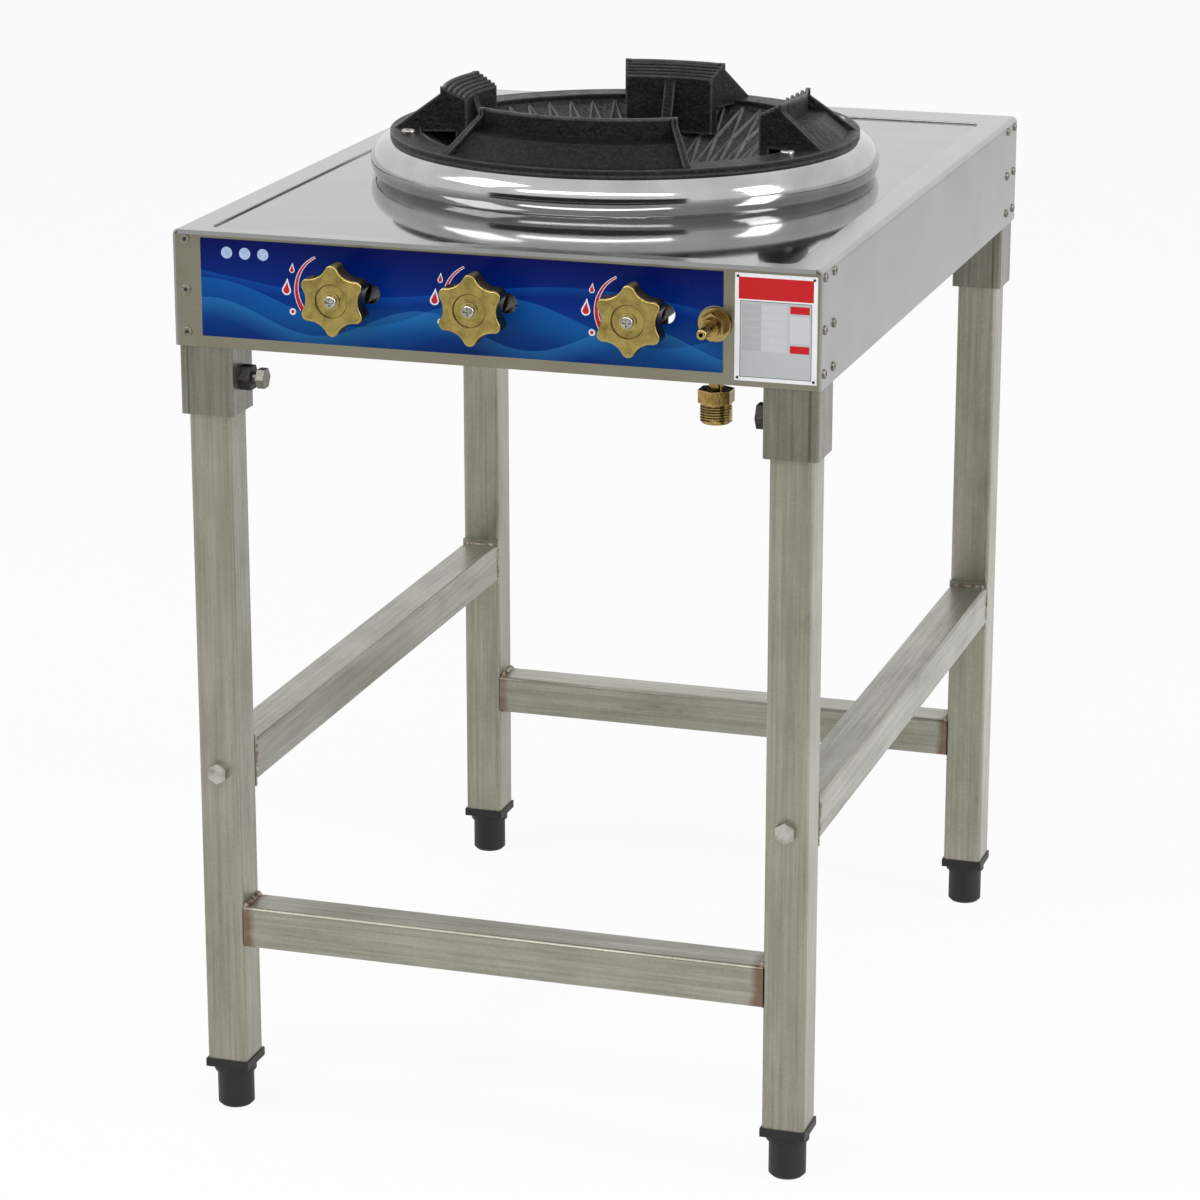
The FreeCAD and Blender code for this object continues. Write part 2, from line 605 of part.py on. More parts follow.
for p in screw_places:
    head = rod(p, Z_AXIS, POT_SCREW_HEAD_R, POT_SCREW_HEAD_H)
    rim = [e for e in head.Edges if e.Closed and e.CenterOfMass.z > p.z + POT_SCREW_HEAD_H / 2]
    head = head.makeFillet(POT_SCREW_HEAD_H / 2, rim)
    long = POT_SCREW_CROSS_L / 2
    thin = POT_SCREW_CROSS / 2
    low = p.z + POT_SCREW_HEAD_H - POT_SCREW_CROSS_DEEP
    for w, h in ((long, thin), (thin, long)):
        head = head.cut(block(p.x - w, p.x + w, p.y - h, p.y + h, low, low + POT_SCREW_HEAD_H))
    pot_screws.append(head.fuse(rod(p - Z_AXIS * POT_SCREW_L, Z_AXIS, POT_SCREW_R, POT_SCREW_L)))
save("pot_support_screws", pot_screws)

# Polished ring between the deck and the pot support
top = POT_UNDER
foot = DECK_TOP
shell = [line((RING_IN, top), (POT_FLANGE_R, top)),
         bend((POT_FLANGE_R, top), (RING_BULGE_R, RING_BULGE_Z), (RING_FOOT_R, foot)),
         line((RING_FOOT_R, foot), (RING_FOOT_IN, foot)),
         line((RING_FOOT_IN, foot), (RING_FOOT_IN, foot + RING_T)),
         line((RING_FOOT_IN, foot + RING_T), (RING_FOOT_R - RING_T, foot + RING_T)),
         bend((RING_FOOT_R - RING_T, foot + RING_T), (RING_BULGE_R - RING_T, RING_BULGE_Z),
              (POT_FLANGE_R - RING_T, top - RING_T)),
         line((POT_FLANGE_R - RING_T, top - RING_T), (RING_IN, top - RING_T)),
         line((RING_IN, top - RING_T), (RING_IN, top))]
save("polished_ring", spun(shell).cut(screw_holes))

# Cast bowl with a ridged floor, standing on the burner base
lip = POT_UNDER - RING_T
floor_top = BOWL_T - BASE_DOWN
ridge_step = (BOWL_FLOOR_R - BOWL_HOLE_R) / BOWL_RIDGES
bowl_floor = []
for i in range(BOWL_RIDGES):
    r = BOWL_FLOOR_R - i * ridge_step
    bowl_floor += [(r, floor_top), (r - ridge_step / 2, floor_top + BOWL_RIDGE_H)]
bowl_floor += [(BOWL_HOLE_R, floor_top), (BOWL_HOLE_R, -BASE_DOWN), (BOWL_FLOOR_R + BOWL_T, -BASE_DOWN)]
bowl = spun(flat([(BOWL_TOP_R + BOWL_T, lip - BOWL_T), (BOWL_LIP_R, lip - BOWL_T), (BOWL_LIP_R, lip),
                  (BOWL_TOP_R, lip)] + bowl_floor))
save("burner_bowl", bowl.cut(screw_holes))

# Burner base: plate, gas chamber and two tube bosses
plate_low = -BASE_DOWN - BASE_PLATE_T
base = spun(flat([(HEAD_SPIGOT_R + HOLE_GAP, -BASE_DOWN), (HEAD_SPIGOT_R + HOLE_GAP, plate_low),
                  (CHAMBER_R - CHAMBER_WALL, plate_low),
                  (CHAMBER_R - CHAMBER_WALL, CHAMBER_FLOOR - CHAMBER_LOW), (0, CHAMBER_FLOOR - CHAMBER_LOW),
                  (0, -CHAMBER_LOW), (CHAMBER_R, -CHAMBER_LOW), (CHAMBER_R, plate_low), (BASE_R, plate_low),
                  (BASE_R, -BASE_DOWN)]))
tube_xs = KNOB_X[:2]
chamber_gap = rod(V(0, BURNER_Y, BASE_BOTTOM + CHAMBER_FLOOR), Z_AXIS, CHAMBER_R - CHAMBER_WALL,
                  CHAMBER_LOW - CHAMBER_FLOOR - BASE_DOWN - BASE_PLATE_T)
for x in tube_xs:
    tube_joint = V(x, FRONT + TUBE_END, OUT_Z)
    base = base.fuse(rod(tube_joint, Y_AXIS, TUBE_BOSS_R, TUBE_BOSS_L).cut(chamber_gap))
    base = base.cut(rod(tube_joint, Y_AXIS, TUBE_R - TUBE_WALL, TUBE_BORE_L))
bolt_places = [V(sx * BASE_BOLT_X, BURNER_Y + sy * BEAM_Y, BASE_BOTTOM) for sx in (-1, 1) for sy in (-1, 1)]
bolt_holes = Part.makeCompound([rod(p - Z_AXIS * BEAM_H, Z_AXIS, M6_R + HOLE_GAP, BEAM_H + BASE_BOLT_IN)
                                for p in bolt_places])
save("burner_base", base.cut(bolt_holes).removeSplitter())

# Burner head with side ports, closed by a cap
neck_low = HEAD_FLANGE_T - BASE_DOWN
spigot_low = -BASE_DOWN - HEAD_SPIGOT_L
bore_r = HEAD_NECK_R - HEAD_WALL
head = spun(flat([(bore_r, spigot_low), (HEAD_SPIGOT_R, spigot_low),
                  (HEAD_SPIGOT_R, -BASE_DOWN), (HEAD_FLANGE_R, -BASE_DOWN), (HEAD_FLANGE_R, neck_low),
                  (HEAD_NECK_R, neck_low), (HEAD_NECK_R, HEAD_TOP), (bore_r, HEAD_TOP)]))
for i in range(PORTS // 2):
    port = block(-HEAD_FLANGE_R, HEAD_FLANGE_R, BURNER_Y - PORT_W / 2, BURNER_Y + PORT_W / 2,
                 RIM_Z + HEAD_TOP - PORT_H, RIM_Z + HEAD_TOP)
    port.rotate(V(0, BURNER_Y, RIM_Z), Z_AXIS, i * FULL_TURN / PORTS)
    head = head.cut(port)
save("burner_head", head)
spigot_r = bore_r - HOLE_GAP
crown = HEAD_TOP + CAP_T + CAP_DOME
save("burner_cap", spun(flat([(0, HEAD_TOP - CAP_SPIGOT_L), (spigot_r, HEAD_TOP - CAP_SPIGOT_L),
                              (spigot_r, HEAD_TOP), (CAP_R, HEAD_TOP), (CAP_R, HEAD_TOP + CAP_T),
                              (CAP_FLAT_R, crown), (0, crown)])))

# Two angle beams carry the base across the casing
beams = []
for sy in (-1, 1):
    y = BURNER_Y + sy * BEAM_Y
    span = HALF_W - SHEET
    beam = block(-span, span, y - BEAM_W / 2, y + BEAM_W / 2, BASE_BOTTOM - BEAM_T, BASE_BOTTOM)
    edge = y + sy * BEAM_W / 2
    web = block(-span, span, min(edge, edge - sy * BEAM_T), max(edge, edge - sy * BEAM_T),
                BASE_BOTTOM - BEAM_H, BASE_BOTTOM)
    beams.append(beam.fuse(web).cut(bolt_holes))
save("burner_beams", beams)
base_bolts = []
for p in bolt_places:
    seat = p - Z_AXIS * BEAM_T
    bolt = hexagon(seat - Z_AXIS * M6_HEAD_H, Z_AXIS, M6_AF, M6_HEAD_H)
    base_bolts.append(bolt.fuse(rod(seat, Z_AXIS, M6_R, BEAM_T + BASE_BOLT_IN)))
save("base_bolts", base_bolts)

# Gas manifold with its brackets and the inlet fitting below
manifold_x0 = KNOB_X[0] - MANIFOLD_PAST_KNOB
manifold_l = from_right(MANIFOLD_FROM_RIGHT) - manifold_x0
start = V(manifold_x0, MANIFOLD_Y, MANIFOLD_Z)
manifold = rod(start, X_AXIS, MANIFOLD_R, manifold_l)
neck_l = MANIFOLD_R + BOSS_H
inlet = V(from_right(INLET_FROM_RIGHT), MANIFOLD_Y + INLET_BACK, MANIFOLD_Z)
branch = V(inlet.x, MANIFOLD_Y, MANIFOLD_Z)
valve_feet = [V(x, MANIFOLD_Y, MANIFOLD_Z) for x in KNOB_X]
for p in valve_feet:
    manifold = manifold.fuse(rod(p, Z_AXIS, VALVE_NECK_R, neck_l))
manifold = manifold.fuse(rod(branch, Y_AXIS, VALVE_NECK_R, INLET_BACK))
manifold = manifold.fuse(Part.makeSphere(VALVE_NECK_R, inlet))
manifold = manifold.fuse(rod(inlet, -Z_AXIS, VALVE_NECK_R, neck_l))
hollow_l = manifold_l - 2 * MANIFOLD_WALL
manifold = manifold.cut(rod(start + X_AXIS * MANIFOLD_WALL, X_AXIS, MANIFOLD_R - MANIFOLD_WALL, hollow_l))
for p in valve_feet:
    manifold = manifold.cut(rod(p, Z_AXIS, VALVE_NECK_BORE, neck_l))
manifold = manifold.cut(rod(branch, Y_AXIS, PASSAGE_R, INLET_BACK + PASSAGE_R))
manifold = manifold.cut(rod(inlet, -Z_AXIS, PASSAGE_R, neck_l))
save("gas_manifold", manifold.removeSplitter())
brackets = []
reach = MANIFOLD_R + BRACKET_EDGE
for mid in (x + BRACKET_PAST_KNOB for x in KNOB_X[:2]):
    bracket = block(mid - BRACKET_W / 2, mid + BRACKET_W / 2, FRONT + SHEET, MANIFOLD_Y + reach,
                    MANIFOLD_Z - reach, MANIFOLD_Z + reach)
    brackets.append(bracket.cut(rod(start, X_AXIS, MANIFOLD_R + HOLE_GAP, manifold_l)))
save("manifold_brackets", brackets)
inlet_top = inlet - Z_AXIS * neck_l
thread_end = CASE_BOTTOM - INLET_BELOW
hex_low = thread_end + INLET_THREAD_L
hex_top = hex_low + INLET_HEX_H
mouth = V(inlet.x, inlet.y, thread_end)
fitting = rod(V(inlet.x, inlet.y, hex_top), Z_AXIS, INLET_STUB_R, inlet_top.z - hex_top)
fitting = fitting.fuse(hexagon(V(inlet.x, inlet.y, hex_low), Z_AXIS, INLET_HEX_AF, INLET_HEX_H))
thread = rod(mouth, Z_AXIS, INLET_THREAD_R, INLET_THREAD_L)
thread_start = [e for e in thread.Edges if e.Closed and e.CenterOfMass.z < thread_end + INLET_CHAMFER]
fitting = fitting.fuse(thread.makeChamfer(INLET_CHAMFER, thread_start))
fitting = fitting.cut(rod(mouth, Z_AXIS, INLET_BORE, INLET_BORE_L))
save("gas_inlet", fitting.cut(rod(mouth, Z_AXIS, PASSAGE_R, inlet_top.z - thread_end)))

# Valves, spindles, knobs and knob screws
names = ("left", "centre", "right")
for name, x in zip(names, KNOB_X):
    body = rod(V(x, FRONT + VALVE_START, VALVE_Z), Y_AXIS, VALVE_R, VALVE_END - VALVE_START)
    gland = V(x, FRONT + GLAND_START, VALVE_Z)
    body = body.fuse(hexagon(gland, Y_AXIS, GLAND_AF, VALVE_START - GLAND_START))
    body = body.fuse(rod(V(x, MANIFOLD_Y, BOSS_TOP), Z_AXIS, VALVE_NECK_R, VALVE_Z - BOSS_TOP))
    body = body.cut(rod(V(x, FRONT, VALVE_Z), Y_AXIS, SPINDLE_R + RUN_GAP, SPINDLE_DEPTH))
    body = body.cut(rod(V(x, MANIFOLD_Y, BOSS_TOP), Z_AXIS, VALVE_NECK_BORE, VALVE_Z - BOSS_TOP))
    body = body.cut(rod(V(x, MANIFOLD_Y, OUT_Z), Y_AXIS, OUT_BORE, VALVE_END))
    save("valve_body_" + name, body)

    knob_back = FRONT - KNOB_REACH + KNOB_T
    blind = FRONT - KNOB_REACH + KNOB_WEB
    spindle = rod(V(x, blind, VALVE_Z), Y_AXIS, SPINDLE_R, FRONT + SPINDLE_DEPTH - HOLE_GAP - blind)
    screw_end = V(x, FRONT - KNOB_REACH, VALVE_Z)
    screw_bore = rod(screw_end, Y_AXIS, KNOB_SCREW_R + HOLE_GAP, KNOB_SCREW_IN + KNOB_SCREW_R)
    save("spindle_" + name, spindle.cut(screw_bore))

    face = FRONT - KNOB_REACH
    knob = Part.Face(lobed_outline(x, face)).extrude(Y_AXIS * KNOB_T)
    rims = [e for e in knob.Edges if abs(e.CenterOfMass.y - face) < HOLE_GAP or
            abs(e.CenterOfMass.y - knob_back) < HOLE_GAP]
    knob = knob.makeFillet(KNOB_EDGE_R, rims)
    centre = V(x, face, VALVE_Z)
    dish = Part.makeCone(KNOB_RING_OUT, KNOB_RING_OUT - KNOB_RING_SLOPE, KNOB_RING_H, centre, Y_AXIS)
    knob = knob.cut(dish.cut(rod(centre, Y_AXIS, KNOB_RING_IN, KNOB_RING_H)))
    knob = knob.fuse(rod(V(x, knob_back, VALVE_Z), Y_AXIS, KNOB_HUB_R, KNOB_HUB_L))
    knob = knob.cut(rod(V(x, blind, VALVE_Z), Y_AXIS, SPINDLE_R, KNOB_T + KNOB_HUB_L))
    save("knob_" + name, knob.cut(screw_bore))

    head = rod(V(x, face - KNOB_SCREW_HEAD_H, VALVE_Z), Y_AXIS, KNOB_SCREW_HEAD_R, KNOB_SCREW_HEAD_H)
    brim = [e for e in head.Edges if e.Closed and e.CenterOfMass.y < face - KNOB_SCREW_HEAD_H / 2]
    head = head.makeFillet(KNOB_SCREW_HEAD_H / 2, brim)
    screw = head.fuse(rod(V(x, face, VALVE_Z), Y_AXIS, KNOB_SCREW_R, KNOB_SCREW_IN))
    long = KNOB_SCREW_CROSS_L / 2
    thin = KNOB_SCREW_CROSS / 2
    deep = face - KNOB_SCREW_HEAD_H + KNOB_SCREW_CROSS_DEEP
    for w, h in ((long, thin), (thin, long)):
        screw = screw.cut(block(x - w, x + w, face - 2 * KNOB_SCREW_HEAD_H, deep, VALVE_Z - h, VALVE_Z + h))
    save("knob_screw_" + name, screw)

# Injectors on the two burner valves, mixing tubes and their air shutters
injectors = []
mouth = FRONT + TUBE_START
shutter_y = mouth + STOP_T + SHUTTER_GAP
for name, x in zip(names, tube_xs):
    outlet = V(x, FRONT + VALVE_END, OUT_Z)
    jet = hexagon(outlet, Y_AXIS, JET_AF, JET_HEX_L)
    taper = Part.makeCone(JET_BASE_R, JET_TIP_R, JET_L - JET_HEX_L, outlet + Y_AXIS * JET_HEX_L, Y_AXIS)
    jet = jet.fuse(taper)
    injectors.append(jet.cut(rod(outlet, Y_AXIS, JET_BORE, JET_L)))

    middle = shutter_y + SHUTTER_L / 2
    windows = []
    for i in range(WINDOWS):
        wedge = Part.makeCylinder(STOP_R + STOP_T, WINDOW_L, V(0, 0, 0), Z_AXIS, WINDOW_DEG)
        wedge = wedge.cut(Part.makeCylinder(TUBE_R - 2 * TUBE_WALL, WINDOW_L))
        wedge.rotate(V(0, 0, 0), Z_AXIS, i * FULL_TURN / WINDOWS)
        wedge.rotate(V(0, 0, 0), X_AXIS, -QUARTER_TURN)
        wedge.translate(V(x, middle - WINDOW_L / 2, OUT_Z))
        windows.append(wedge)
    windows = Part.makeCompound(windows)
    tube = rod(V(x, mouth, OUT_Z), Y_AXIS, TUBE_R, TUBE_END - TUBE_START)
    for y in (mouth, shutter_y + SHUTTER_L + SHUTTER_GAP):
        tube = tube.fuse(rod(V(x, y, OUT_Z), Y_AXIS, STOP_R, STOP_T))
    tube = tube.cut(rod(V(x, mouth, OUT_Z), Y_AXIS, TUBE_R - TUBE_WALL, TUBE_END - TUBE_START))
    save("mixing_tube_" + name, tube.cut(windows))
    sleeve = rod(V(x, shutter_y, OUT_Z), Y_AXIS, STOP_R + SHUTTER_WALL / 2, SHUTTER_L)
    tab = block(x - SHUTTER_TAB_W / 2, x + SHUTTER_TAB_W / 2, shutter_y, shutter_y + SHUTTER_TAB_T,
                OUT_Z - STOP_R - SHUTTER_TAB_H, OUT_Z)
    sleeve = sleeve.fuse(tab).cut(rod(V(x, shutter_y, OUT_Z), Y_AXIS, TUBE_R + RUN_GAP, SHUTTER_L))
    save("air_shutter_" + name, sleeve.cut(windows))
save("injectors", injectors)

# Hand-torch outlet and the small tube that feeds it from the right valve
torch = V(from_right(TORCH_FROM_RIGHT), FRONT, OUT_Z)
nipple = rod(torch, Y_AXIS, TORCH_SHANK_R, TORCH_SHANK_L)
nipple = nipple.fuse(rod(torch, -Y_AXIS, TORCH_FLANGE_R, TORCH_FLANGE_T))
at = torch - Y_AXIS * TORCH_FLANGE_T
nipple = nipple.fuse(hexagon(at, -Y_AXIS, TORCH_HEX_AF, TORCH_HEX_L))
at = at - Y_AXIS * TORCH_HEX_L
nipple = nipple.fuse(rod(at, -Y_AXIS, TORCH_COLLAR_R, TORCH_COLLAR_L))
at = at - Y_AXIS * TORCH_COLLAR_L
nipple = nipple.fuse(rod(at, -Y_AXIS, TORCH_TIP_R, TORCH_TIP_L))
at = at - Y_AXIS * TORCH_TIP_L
bulb = rod(at, -Y_AXIS, TORCH_BULB_R, TORCH_BULB_L)
bulb_tip = [e for e in bulb.Edges if e.Closed and e.CenterOfMass.y < at.y - TORCH_BULB_EDGE]
nipple = nipple.fuse(bulb.makeFillet(TORCH_BULB_EDGE, bulb_tip))
nipple_bore = rod(torch + Y_AXIS * TORCH_SHANK_L, -Y_AXIS, TORCH_BORE, TORCH_SHANK_L + TORCH_REACH)
save("torch_nipple", nipple.cut(nipple_bore))
tube_x = KNOB_X[2]
turn_y = FRONT + VALVE_END + TORCH_TUBE_RUN
loop_r = (torch.x - tube_x) / 2


def torch_run(radius):
    a = rod(V(tube_x, FRONT + VALVE_END, OUT_Z), Y_AXIS, radius, TORCH_TUBE_RUN)
    b = rod(V(torch.x, FRONT + TORCH_SHANK_L, OUT_Z), Y_AXIS, radius, turn_y - FRONT - TORCH_SHANK_L)
    ring = Part.makeTorus(loop_r, radius, V(tube_x + loop_r, turn_y, OUT_Z), Z_AXIS)
    half = block(tube_x - loop_r, torch.x + loop_r, turn_y, turn_y + 2 * loop_r,
                 OUT_Z - loop_r, OUT_Z + loop_r)
    return a.fuse(b).fuse(ring.common(half))


save("torch_tube", torch_run(TORCH_TUBE_R).cut(torch_run(TORCH_TUBE_R - TORCH_TUBE_WALL)))
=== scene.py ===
# %% [markdown]
# # Dressing a wok range
# The range is a sheet-metal casing on four square legs, with a cast-iron pot support over a deep
# bowl burner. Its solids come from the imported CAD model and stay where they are. Here they get real
# finishes, and the small things that a solid model leaves out: weld beads, a pipe thread, the ribs
# in the bowl and the printed marks.

# %% Load the solids
import math
import bmesh
import bpy
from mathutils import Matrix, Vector


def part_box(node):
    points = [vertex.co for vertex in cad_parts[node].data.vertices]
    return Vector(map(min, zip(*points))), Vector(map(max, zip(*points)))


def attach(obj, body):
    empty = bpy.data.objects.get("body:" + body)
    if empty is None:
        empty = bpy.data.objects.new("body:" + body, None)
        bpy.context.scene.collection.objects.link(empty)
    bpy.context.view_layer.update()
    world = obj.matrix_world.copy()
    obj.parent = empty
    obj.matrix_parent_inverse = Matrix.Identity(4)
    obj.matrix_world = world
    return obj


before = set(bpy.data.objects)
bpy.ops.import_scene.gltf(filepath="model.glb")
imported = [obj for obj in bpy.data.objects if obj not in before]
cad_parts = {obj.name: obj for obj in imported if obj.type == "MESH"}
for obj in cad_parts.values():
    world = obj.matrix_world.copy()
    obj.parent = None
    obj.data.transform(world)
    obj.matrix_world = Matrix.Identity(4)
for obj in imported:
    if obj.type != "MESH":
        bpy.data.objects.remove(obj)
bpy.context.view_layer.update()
MM = 0.001

# %% [markdown]
# Every step begins from a clean selection, because an operator acts on all that is selected, and
# the loaded solids still are. Faces, edges and points are chosen by where their middle lies, which
# is what a click does by hand.

# %% Small helpers for modelling
def begin():
    if bpy.context.mode != "OBJECT":
        bpy.ops.object.mode_set(mode="OBJECT")
    bpy.ops.object.select_all(action="DESELECT")


def edit():
    bpy.ops.object.mode_set(mode="EDIT")


def pick(kind, test):
    """Select the faces, edges or verts of the edited mesh whose middle passes the test."""
    mesh = bmesh.from_edit_mesh(bpy.context.object.data)
    bpy.ops.mesh.select_all(action="DESELECT")
    for part in getattr(mesh, kind):
        corners = [part] if kind == "verts" else part.verts
        middle = sum((v.co for v in corners), Vector()) / len(corners)
        part.select_set(test(middle))
    mesh.select_flush_mode()
    bmesh.update_edit_mesh(bpy.context.object.data)


def settle(name, body="stand", smooth=40):
    """Leave edit mode, name the piece, put its place in the mesh and let it ride on a body."""
    if bpy.context.mode != "OBJECT":
        bpy.ops.object.mode_set(mode="OBJECT")
    piece = bpy.context.object
    piece.name = name
    piece.data.name = name
    bpy.ops.object.transform_apply(location=True, rotation=True, scale=True)
    bpy.ops.object.shade_smooth_by_angle(angle=math.radians(smooth))
    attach(piece, body)
    return piece


def apply_all():
    for modifier in list(bpy.context.object.modifiers):
        bpy.ops.object.modifier_apply(modifier=modifier.name)


def copies(piece, spots, name, scales=None):
    """One joined piece with a copy, each with its own mesh, at every place and turn, and scaled if asked."""
    begin()
    for i, (place, turn) in enumerate(spots):
        twin = piece.copy()
        twin.data = piece.data.copy()
        twin.location = place
        twin.rotation_euler = turn
        if scales:
            twin.scale = scales[i]
        bpy.context.collection.objects.link(twin)
        twin.select_set(True)
        bpy.context.view_layer.objects.active = twin
    bpy.ops.object.transform_apply(location=True, rotation=True, scale=True)
    bpy.ops.object.join()
    bpy.data.objects.remove(piece)
    return settle(name)


print("helpers ready")

# %% [markdown]
# A material is a small graph. One function adds a node, sets its values and plugs in its links, so
# each finish below reads as a list of what happens to the surface. Colours are written as sRGB hex,
# as a picker shows them, and turned to the linear values that the renderer counts with.

# %% Helpers for materials
def colour(code):
    parts = [int(code[i:i + 2], 16) / 255 for i in (1, 3, 5)]
    return [c / 12.92 if c <= 0.04045 else ((c + 0.055) / 1.055) ** 2.4 for c in parts] + [1.0]


def add(tree, kind, links=None, stops=None, out=0, **settings):
    """Add one node and hand back an output, or all of them if out is None.

    Settings are the node's properties, links its inputs (a socket or a value) and stops its ramp."""
    made = tree.nodes.new("ShaderNode" + kind)
    for key, value in settings.items():
        setattr(made, key, value)
    for key, value in (links or {}).items():
        if isinstance(value, bpy.types.NodeSocket):
            tree.links.new(value, made.inputs[key])
        else:
            made.inputs[key].default_value = value
    if stops:
        ramp = made.color_ramp.elements
        while len(ramp) < len(stops):
            ramp.new(1.0)
        for element, (place, code) in zip(ramp, stops):
            element.position = place
            element.color = colour(code)
    return made.outputs[out] if made.outputs and out is not None else made.outputs


def material(name, **values):
    """A new material with constant values set on its shader, and the object's own coordinates."""
    made = bpy.data.materials.new(name)
    made.use_nodes = True
    tree = made.node_tree
    shader = tree.nodes["Principled BSDF"]
    for key, value in values.items():
        shader.inputs[key.replace("_", " ")].default_value = value
    place = add(tree, "TexCoord", out="Object")
    return made, tree, shader, place


def wear(made, *names):
    for name in names:
        piece = bpy.data.objects[name]
        piece.data.materials.clear()
        piece.data.materials.append(made)
    print(made.name, "on", len(names), "pieces")


# %% [markdown]
# ## Camera and light
# The photograph was taken from the right of the front, a little above the burner, with a long lens.
# The light is a broad soft sky with a long lamp over the camera, one from the left and one from the
# right. The floor and the sky show white to the camera, and the floor still takes the soft shadow.
# In the metal the floor shows as a mid grey, with a bright strip behind the range at the right,
# which lights the right flanks of the legs. Polished metal only looks like metal when it has
# something dark to show too, so a dark card stands far behind the camera. Only reflections see it.

# %% Camera
CAMERA_AT = (0.855, -2.757, 1.178)
CAMERA_LOOK = (-0.288, 0.914, -0.285)
SENSOR, LENS = 36.0, 121.9
bpy.ops.object.camera_add(location=CAMERA_AT)
camera = bpy.context.object
camera.rotation_euler = Vector(CAMERA_LOOK).to_track_quat("-Z", "Y").to_euler()
camera.data.sensor_width = SENSOR
camera.data.lens = LENS
bpy.context.scene.camera = camera
bpy.context.scene.view_settings.view_transform = "Standard"
print("camera at", tuple(round(c, 3) for c in camera.location))

# %% Floor
FLOOR_SIZE = 60
# How much of its white glow the floor shows to the camera, and in the metal
FLOOR_SEEN, FLOOR_MIRRORED = 0.93, 0.5
# The bright strip, in metres: its middle, half its width, where it has faded, and where it is full behind
STRIP_X, STRIP_HALF, STRIP_END, STRIP_BACK = 0.5, 0.2, 0.3, 0.3
begin()
bpy.ops.mesh.primitive_grid_add(x_subdivisions=8, y_subdivisions=8, size=FLOOR_SIZE)
floor = bpy.context.object
floor.name = "floor"
white = bpy.data.materials.new("white_paper_floor")
white.use_nodes = True
tree = white.node_tree
tree.nodes.clear()
path = add(tree, "LightPath", out=None)
direct = add(tree, "Math", {0: path["Is Camera Ray"], 1: FLOOR_SEEN}, operation="MULTIPLY")
mirrored = add(tree, "Math", {0: path["Is Glossy Ray"], 1: path["Is Transmission Ray"]}, operation="MAXIMUM")
spot = add(tree, "SeparateXYZ", {0: add(tree, "TexCoord", out="Object")}, out=None)
off = add(tree, "Math", {0: spot[0], 1: STRIP_X}, operation="SUBTRACT")
off = add(tree, "Math", {0: off}, operation="ABSOLUTE")
strip = add(tree, "MapRange", {0: off, 1: STRIP_END, 2: STRIP_HALF, 3: 0.0, 4: 1.0})
behind = add(tree, "MapRange", {0: spot[1], 1: 0.0, 2: STRIP_BACK, 3: 0.0, 4: 1 - FLOOR_MIRRORED})
tone = add(tree, "Math", {0: strip, 1: behind, 2: FLOOR_MIRRORED}, operation="MULTIPLY_ADD")
mirrored = add(tree, "Math", {0: mirrored, 1: tone}, operation="MULTIPLY")
share = add(tree, "Math", {0: direct, 1: mirrored}, operation="MAXIMUM")
paper = add(tree, "BsdfDiffuse", {"Color": colour("#f4f4f2")})
glow = add(tree, "Emission", {"Color": colour("#ffffff"), "Strength": 1.0})
both = add(tree, "MixShader", {0: share, 1: paper, 2: glow})
add(tree, "OutputMaterial", {"Surface": both})
floor.data.materials.append(white)
print("floor of", FLOOR_SIZE, "m")

# %% Sky
world = bpy.data.worlds.new("soft_sky")
bpy.context.scene.world = world
world.use_nodes = True
tree = world.node_tree
tree.nodes.clear()
path = add(tree, "LightPath", out=None)
seen = add(tree, "Math", {0: path["Is Camera Ray"], 1: path["Is Glossy Ray"]}, operation="MAXIMUM")
seen = add(tree, "Math", {0: seen, 1: path["Is Transmission Ray"]}, operation="MAXIMUM")
soft = add(tree, "Background", {"Color": colour("#f4f6f8"), "Strength": 0.5})
clear = add(tree, "Background", {"Color": colour("#ffffff"), "Strength": 1.0})
both = add(tree, "MixShader", {0: seen, 1: soft, 2: clear})
add(tree, "OutputWorld", {"Surface": both})
print("sky:", world.name)

# %% Lamps
# Name, place, the height that it aims at over the middle of the floor, size in metres, and watts
LAMPS = (("front_lamp", (0.1, -2.3, 2.4), 0.6, (3.4, 0.45), 34),
         ("left_lamp", (-1.7, -0.8, 2.4), 0.6, (1.2, 1.2), 18),
         ("right_lamp", (2.5, -0.4, 1.5), 0.4, (0.7, 1.6), 30))
for name, place, aim_z, size, watts in LAMPS:
    bpy.ops.object.light_add(type="AREA", location=place)
    lamp = bpy.context.object
    lamp.name = name
    lamp.rotation_euler = (Vector((0, 0, aim_z)) - Vector(place)).to_track_quat("-Z", "Y").to_euler()
    lamp.data.shape = "RECTANGLE"
    lamp.data.size, lamp.data.size_y = size
    lamp.data.energy = watts
print(len(LAMPS), "lamps")

# %% Dark card behind the camera
QUARTER = math.pi / 2
CARD_AT, CARD_SCALE = (0, -7, 1.3), (14, 2.6, 1)
begin()
bpy.ops.mesh.primitive_plane_add(size=1, location=CARD_AT, rotation=(QUARTER, 0, 0))
card = bpy.context.object
card.name = "dark_card"
card.scale = CARD_SCALE
card.visible_camera = card.visible_diffuse = card.visible_shadow = card.visible_transmission = False
felt = bpy.data.materials.new("dark_felt_card")
felt.use_nodes = True
matt = felt.node_tree.nodes["Principled BSDF"].inputs
matt["Base Color"].default_value = colour("#34322e")
matt["Roughness"].default_value = 0.9
card.data.materials.append(felt)
print("card", tuple(card.scale)[:2], "m")

# %% [markdown]
# ## Stainless sheet
# The cover and panels are bent from bright rolled stainless steel. Rolling leaves fine streaks
# along the sheet and handling leaves smears, so the roughness varies in long streaks and soft
# clouds, while the colour hardly changes. The streaks are drawn 1 mm wide, coarser than real, so
# that they show.

